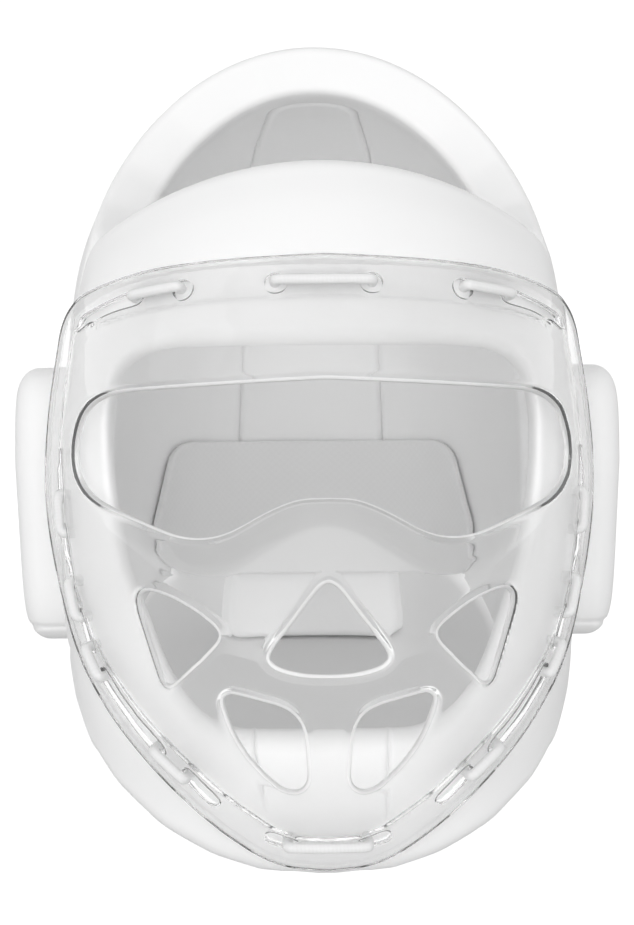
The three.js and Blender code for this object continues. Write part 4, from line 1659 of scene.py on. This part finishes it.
FOAM = DippedFoam("foam_white", grain=700.0, tones=(0.91, 0.94), bump=(0.05, 0.0004), gloss=(0.38, 0.5))
STRAP = Cloth(
    "strap_white", grain=500.0, tones=(0.8, 0.85), bump=(0.12, 0.0002), pitch=(0.003, 0.003), winding=False,
    relief=0.015, roughness=0.8,
)
LACE = Cloth(
    "lace_white", grain=900.0, tones=(0.82, 0.86), bump=(0.2, 0.0003), pitch=(0.0024, 0.25), winding=True,
    relief=0.03, roughness=0.6,
)
SHEET = Plastic("mask_clear", roughness=0.02, clear=0.97)
LIPS = Plastic("mask_edge", roughness=0.4, clear=0.45)
GROUND = Ground("floor_white")


# Studio


def aimed(name: str, data: bpy.types.ID, place: Sequence[float], target: Sequence[float]) -> Piece:
    """Adds a light or camera to the scene that looks from a place at a target.

    Args:
        name: name of the object.
        data: its light or camera.
        place: where it stands.
        target: what it looks at.

    Returns:
        The object.
    """
    item = bpy.data.objects.new(name, data)
    item.location = place
    way = Vector(target) - Vector(place)
    item.rotation_euler = way.to_track_quat("-Z", "Y").to_euler()
    bpy.context.scene.collection.objects.link(item)
    return item


@dataclass(frozen=True)
class SoftLight:
    """A square area light that looks at the guard."""

    name: str
    place: Triple
    size: float
    power: float
    target: Triple = (0.0, 0.0, 0.11)

    def build(self) -> None:
        """Adds the light to the scene."""
        data = bpy.data.lights.new(self.name, "AREA")
        data.shape, data.size, data.energy = "SQUARE", self.size, self.power
        aimed(self.name, data, self.place, self.target)


@dataclass
class Studio:
    """Camera, floor, sky and lights of the picture."""

    eye: Triple = (-0.0195, -0.7542, 0.3325)
    target: Triple = (0.0, 0.010373, 0.097843)
    lens: float = 85.3
    sensor: float = 36.0
    floor_half: float = 9.0
    sky: Pair = (1.15, 0.45)  # light of the horizon and of the sky above it
    sky_end: float = 0.6  # share of the way up at which the second is reached
    glow: float = 1.3
    glow_way: Triple = (-0.1, -0.94, 0.32)
    glow_end: float = 0.57  # cosine of the angle from its middle at which the glow ends
    lights: tuple[SoftLight, ...] = (
        SoftLight("side", (-1.2, -0.5, 1.1), 1.0, 1.2),
        SoftLight("top", (0.0, -0.2, 1.7), 1.4, 0.5),
    )

    def camera(self) -> None:
        """Adds the camera and makes it the scene's."""
        data = bpy.data.cameras.new("camera")
        data.lens, data.sensor_width = self.lens, self.sensor
        data.dof.use_dof = False
        bpy.context.scene.camera = aimed("camera", data, self.eye, self.target)

    def floor(self, finish: Material) -> None:
        """Adds the white floor, which fills the picture behind the guard.

        Args:
            finish: its material.
        """
        half = self.floor_half
        corners = [(-half, -half, 0), (half, -half, 0), (half, half, 0), (-half, half, 0)]
        mesh = bpy.data.meshes.new("floor")
        mesh.from_pydata(corners, [], [(0, 1, 2, 3)])
        mesh.materials.append(finish)
        floor = bpy.data.objects.new("floor", mesh)
        bpy.context.scene.collection.objects.link(floor)

    def surroundings(self) -> None:
        """Adds the sky: white at the horizon and greyer above, with a broad soft glow in front."""
        world = bpy.data.worlds.new("sky")
        bpy.context.scene.world = world
        world.use_nodes = True
        world.node_tree.nodes.clear()
        nodes = Nodes(world.node_tree)
        way = nodes.add("ShaderNodeTexCoord").outputs["Generated"]
        height = nodes.add("ShaderNodeSeparateXYZ", {"Vector": way}).outputs["Z"]
        above = nodes.spread(height, self.sky, (0.0, self.sky_end))
        facing = nodes.vector("DOT_PRODUCT", "Value", way, self.glow_way)
        glow = nodes.spread(facing, (0.0, self.glow), (self.glow_end, 1.0), "SMOOTHSTEP")
        strength = nodes.math("ADD", above, glow)
        light = nodes.add("ShaderNodeBackground", {"Color": WHITE, "Strength": strength})
        nodes.add("ShaderNodeOutputWorld", {"Surface": light.outputs["Background"]})

    def build(self, floor_finish: Material) -> None:
        """Sets up everything around the guard.

        Args:
            floor_finish: material of the floor.
        """
        bpy.context.scene.view_settings.view_transform = "Standard"
        self.camera()
        self.floor(floor_finish)
        self.surroundings()
        for light in self.lights:
            light.build()


def main() -> None:
    """Builds the guard, its finishes and the studio."""
    logging.basicConfig(level=logging.INFO, format="%(name)s: %(message)s")
    effects = Effects()
    foam, strap, lace, sheet, lips, ground = (
        finish.material(effects) for finish in (FOAM, STRAP, LACE, SHEET, LIPS, GROUND)
    )
    mask = FaceMask()
    pieces = [
        FrontShell().build(foam),
        *Crown().build(foam),
        RearStrap().build(strap),
        EarPad().build(1, "ear_pad_right_foam", "ear_pad_left", foam),
        EarPad().build(-1, "ear_pad_left_foam", "ear_pad_right", foam),
        mask.build(sheet, lips),
        Lace(mask).build(TOP_LACE, "lace_top_cord", "lace_top", lace),
        Lace(mask).build(LOWER_LACE, "lace_lower_cord", "lace_lower", lace),
    ]
    Studio().build(ground)


if __name__ == "__main__":
    main()
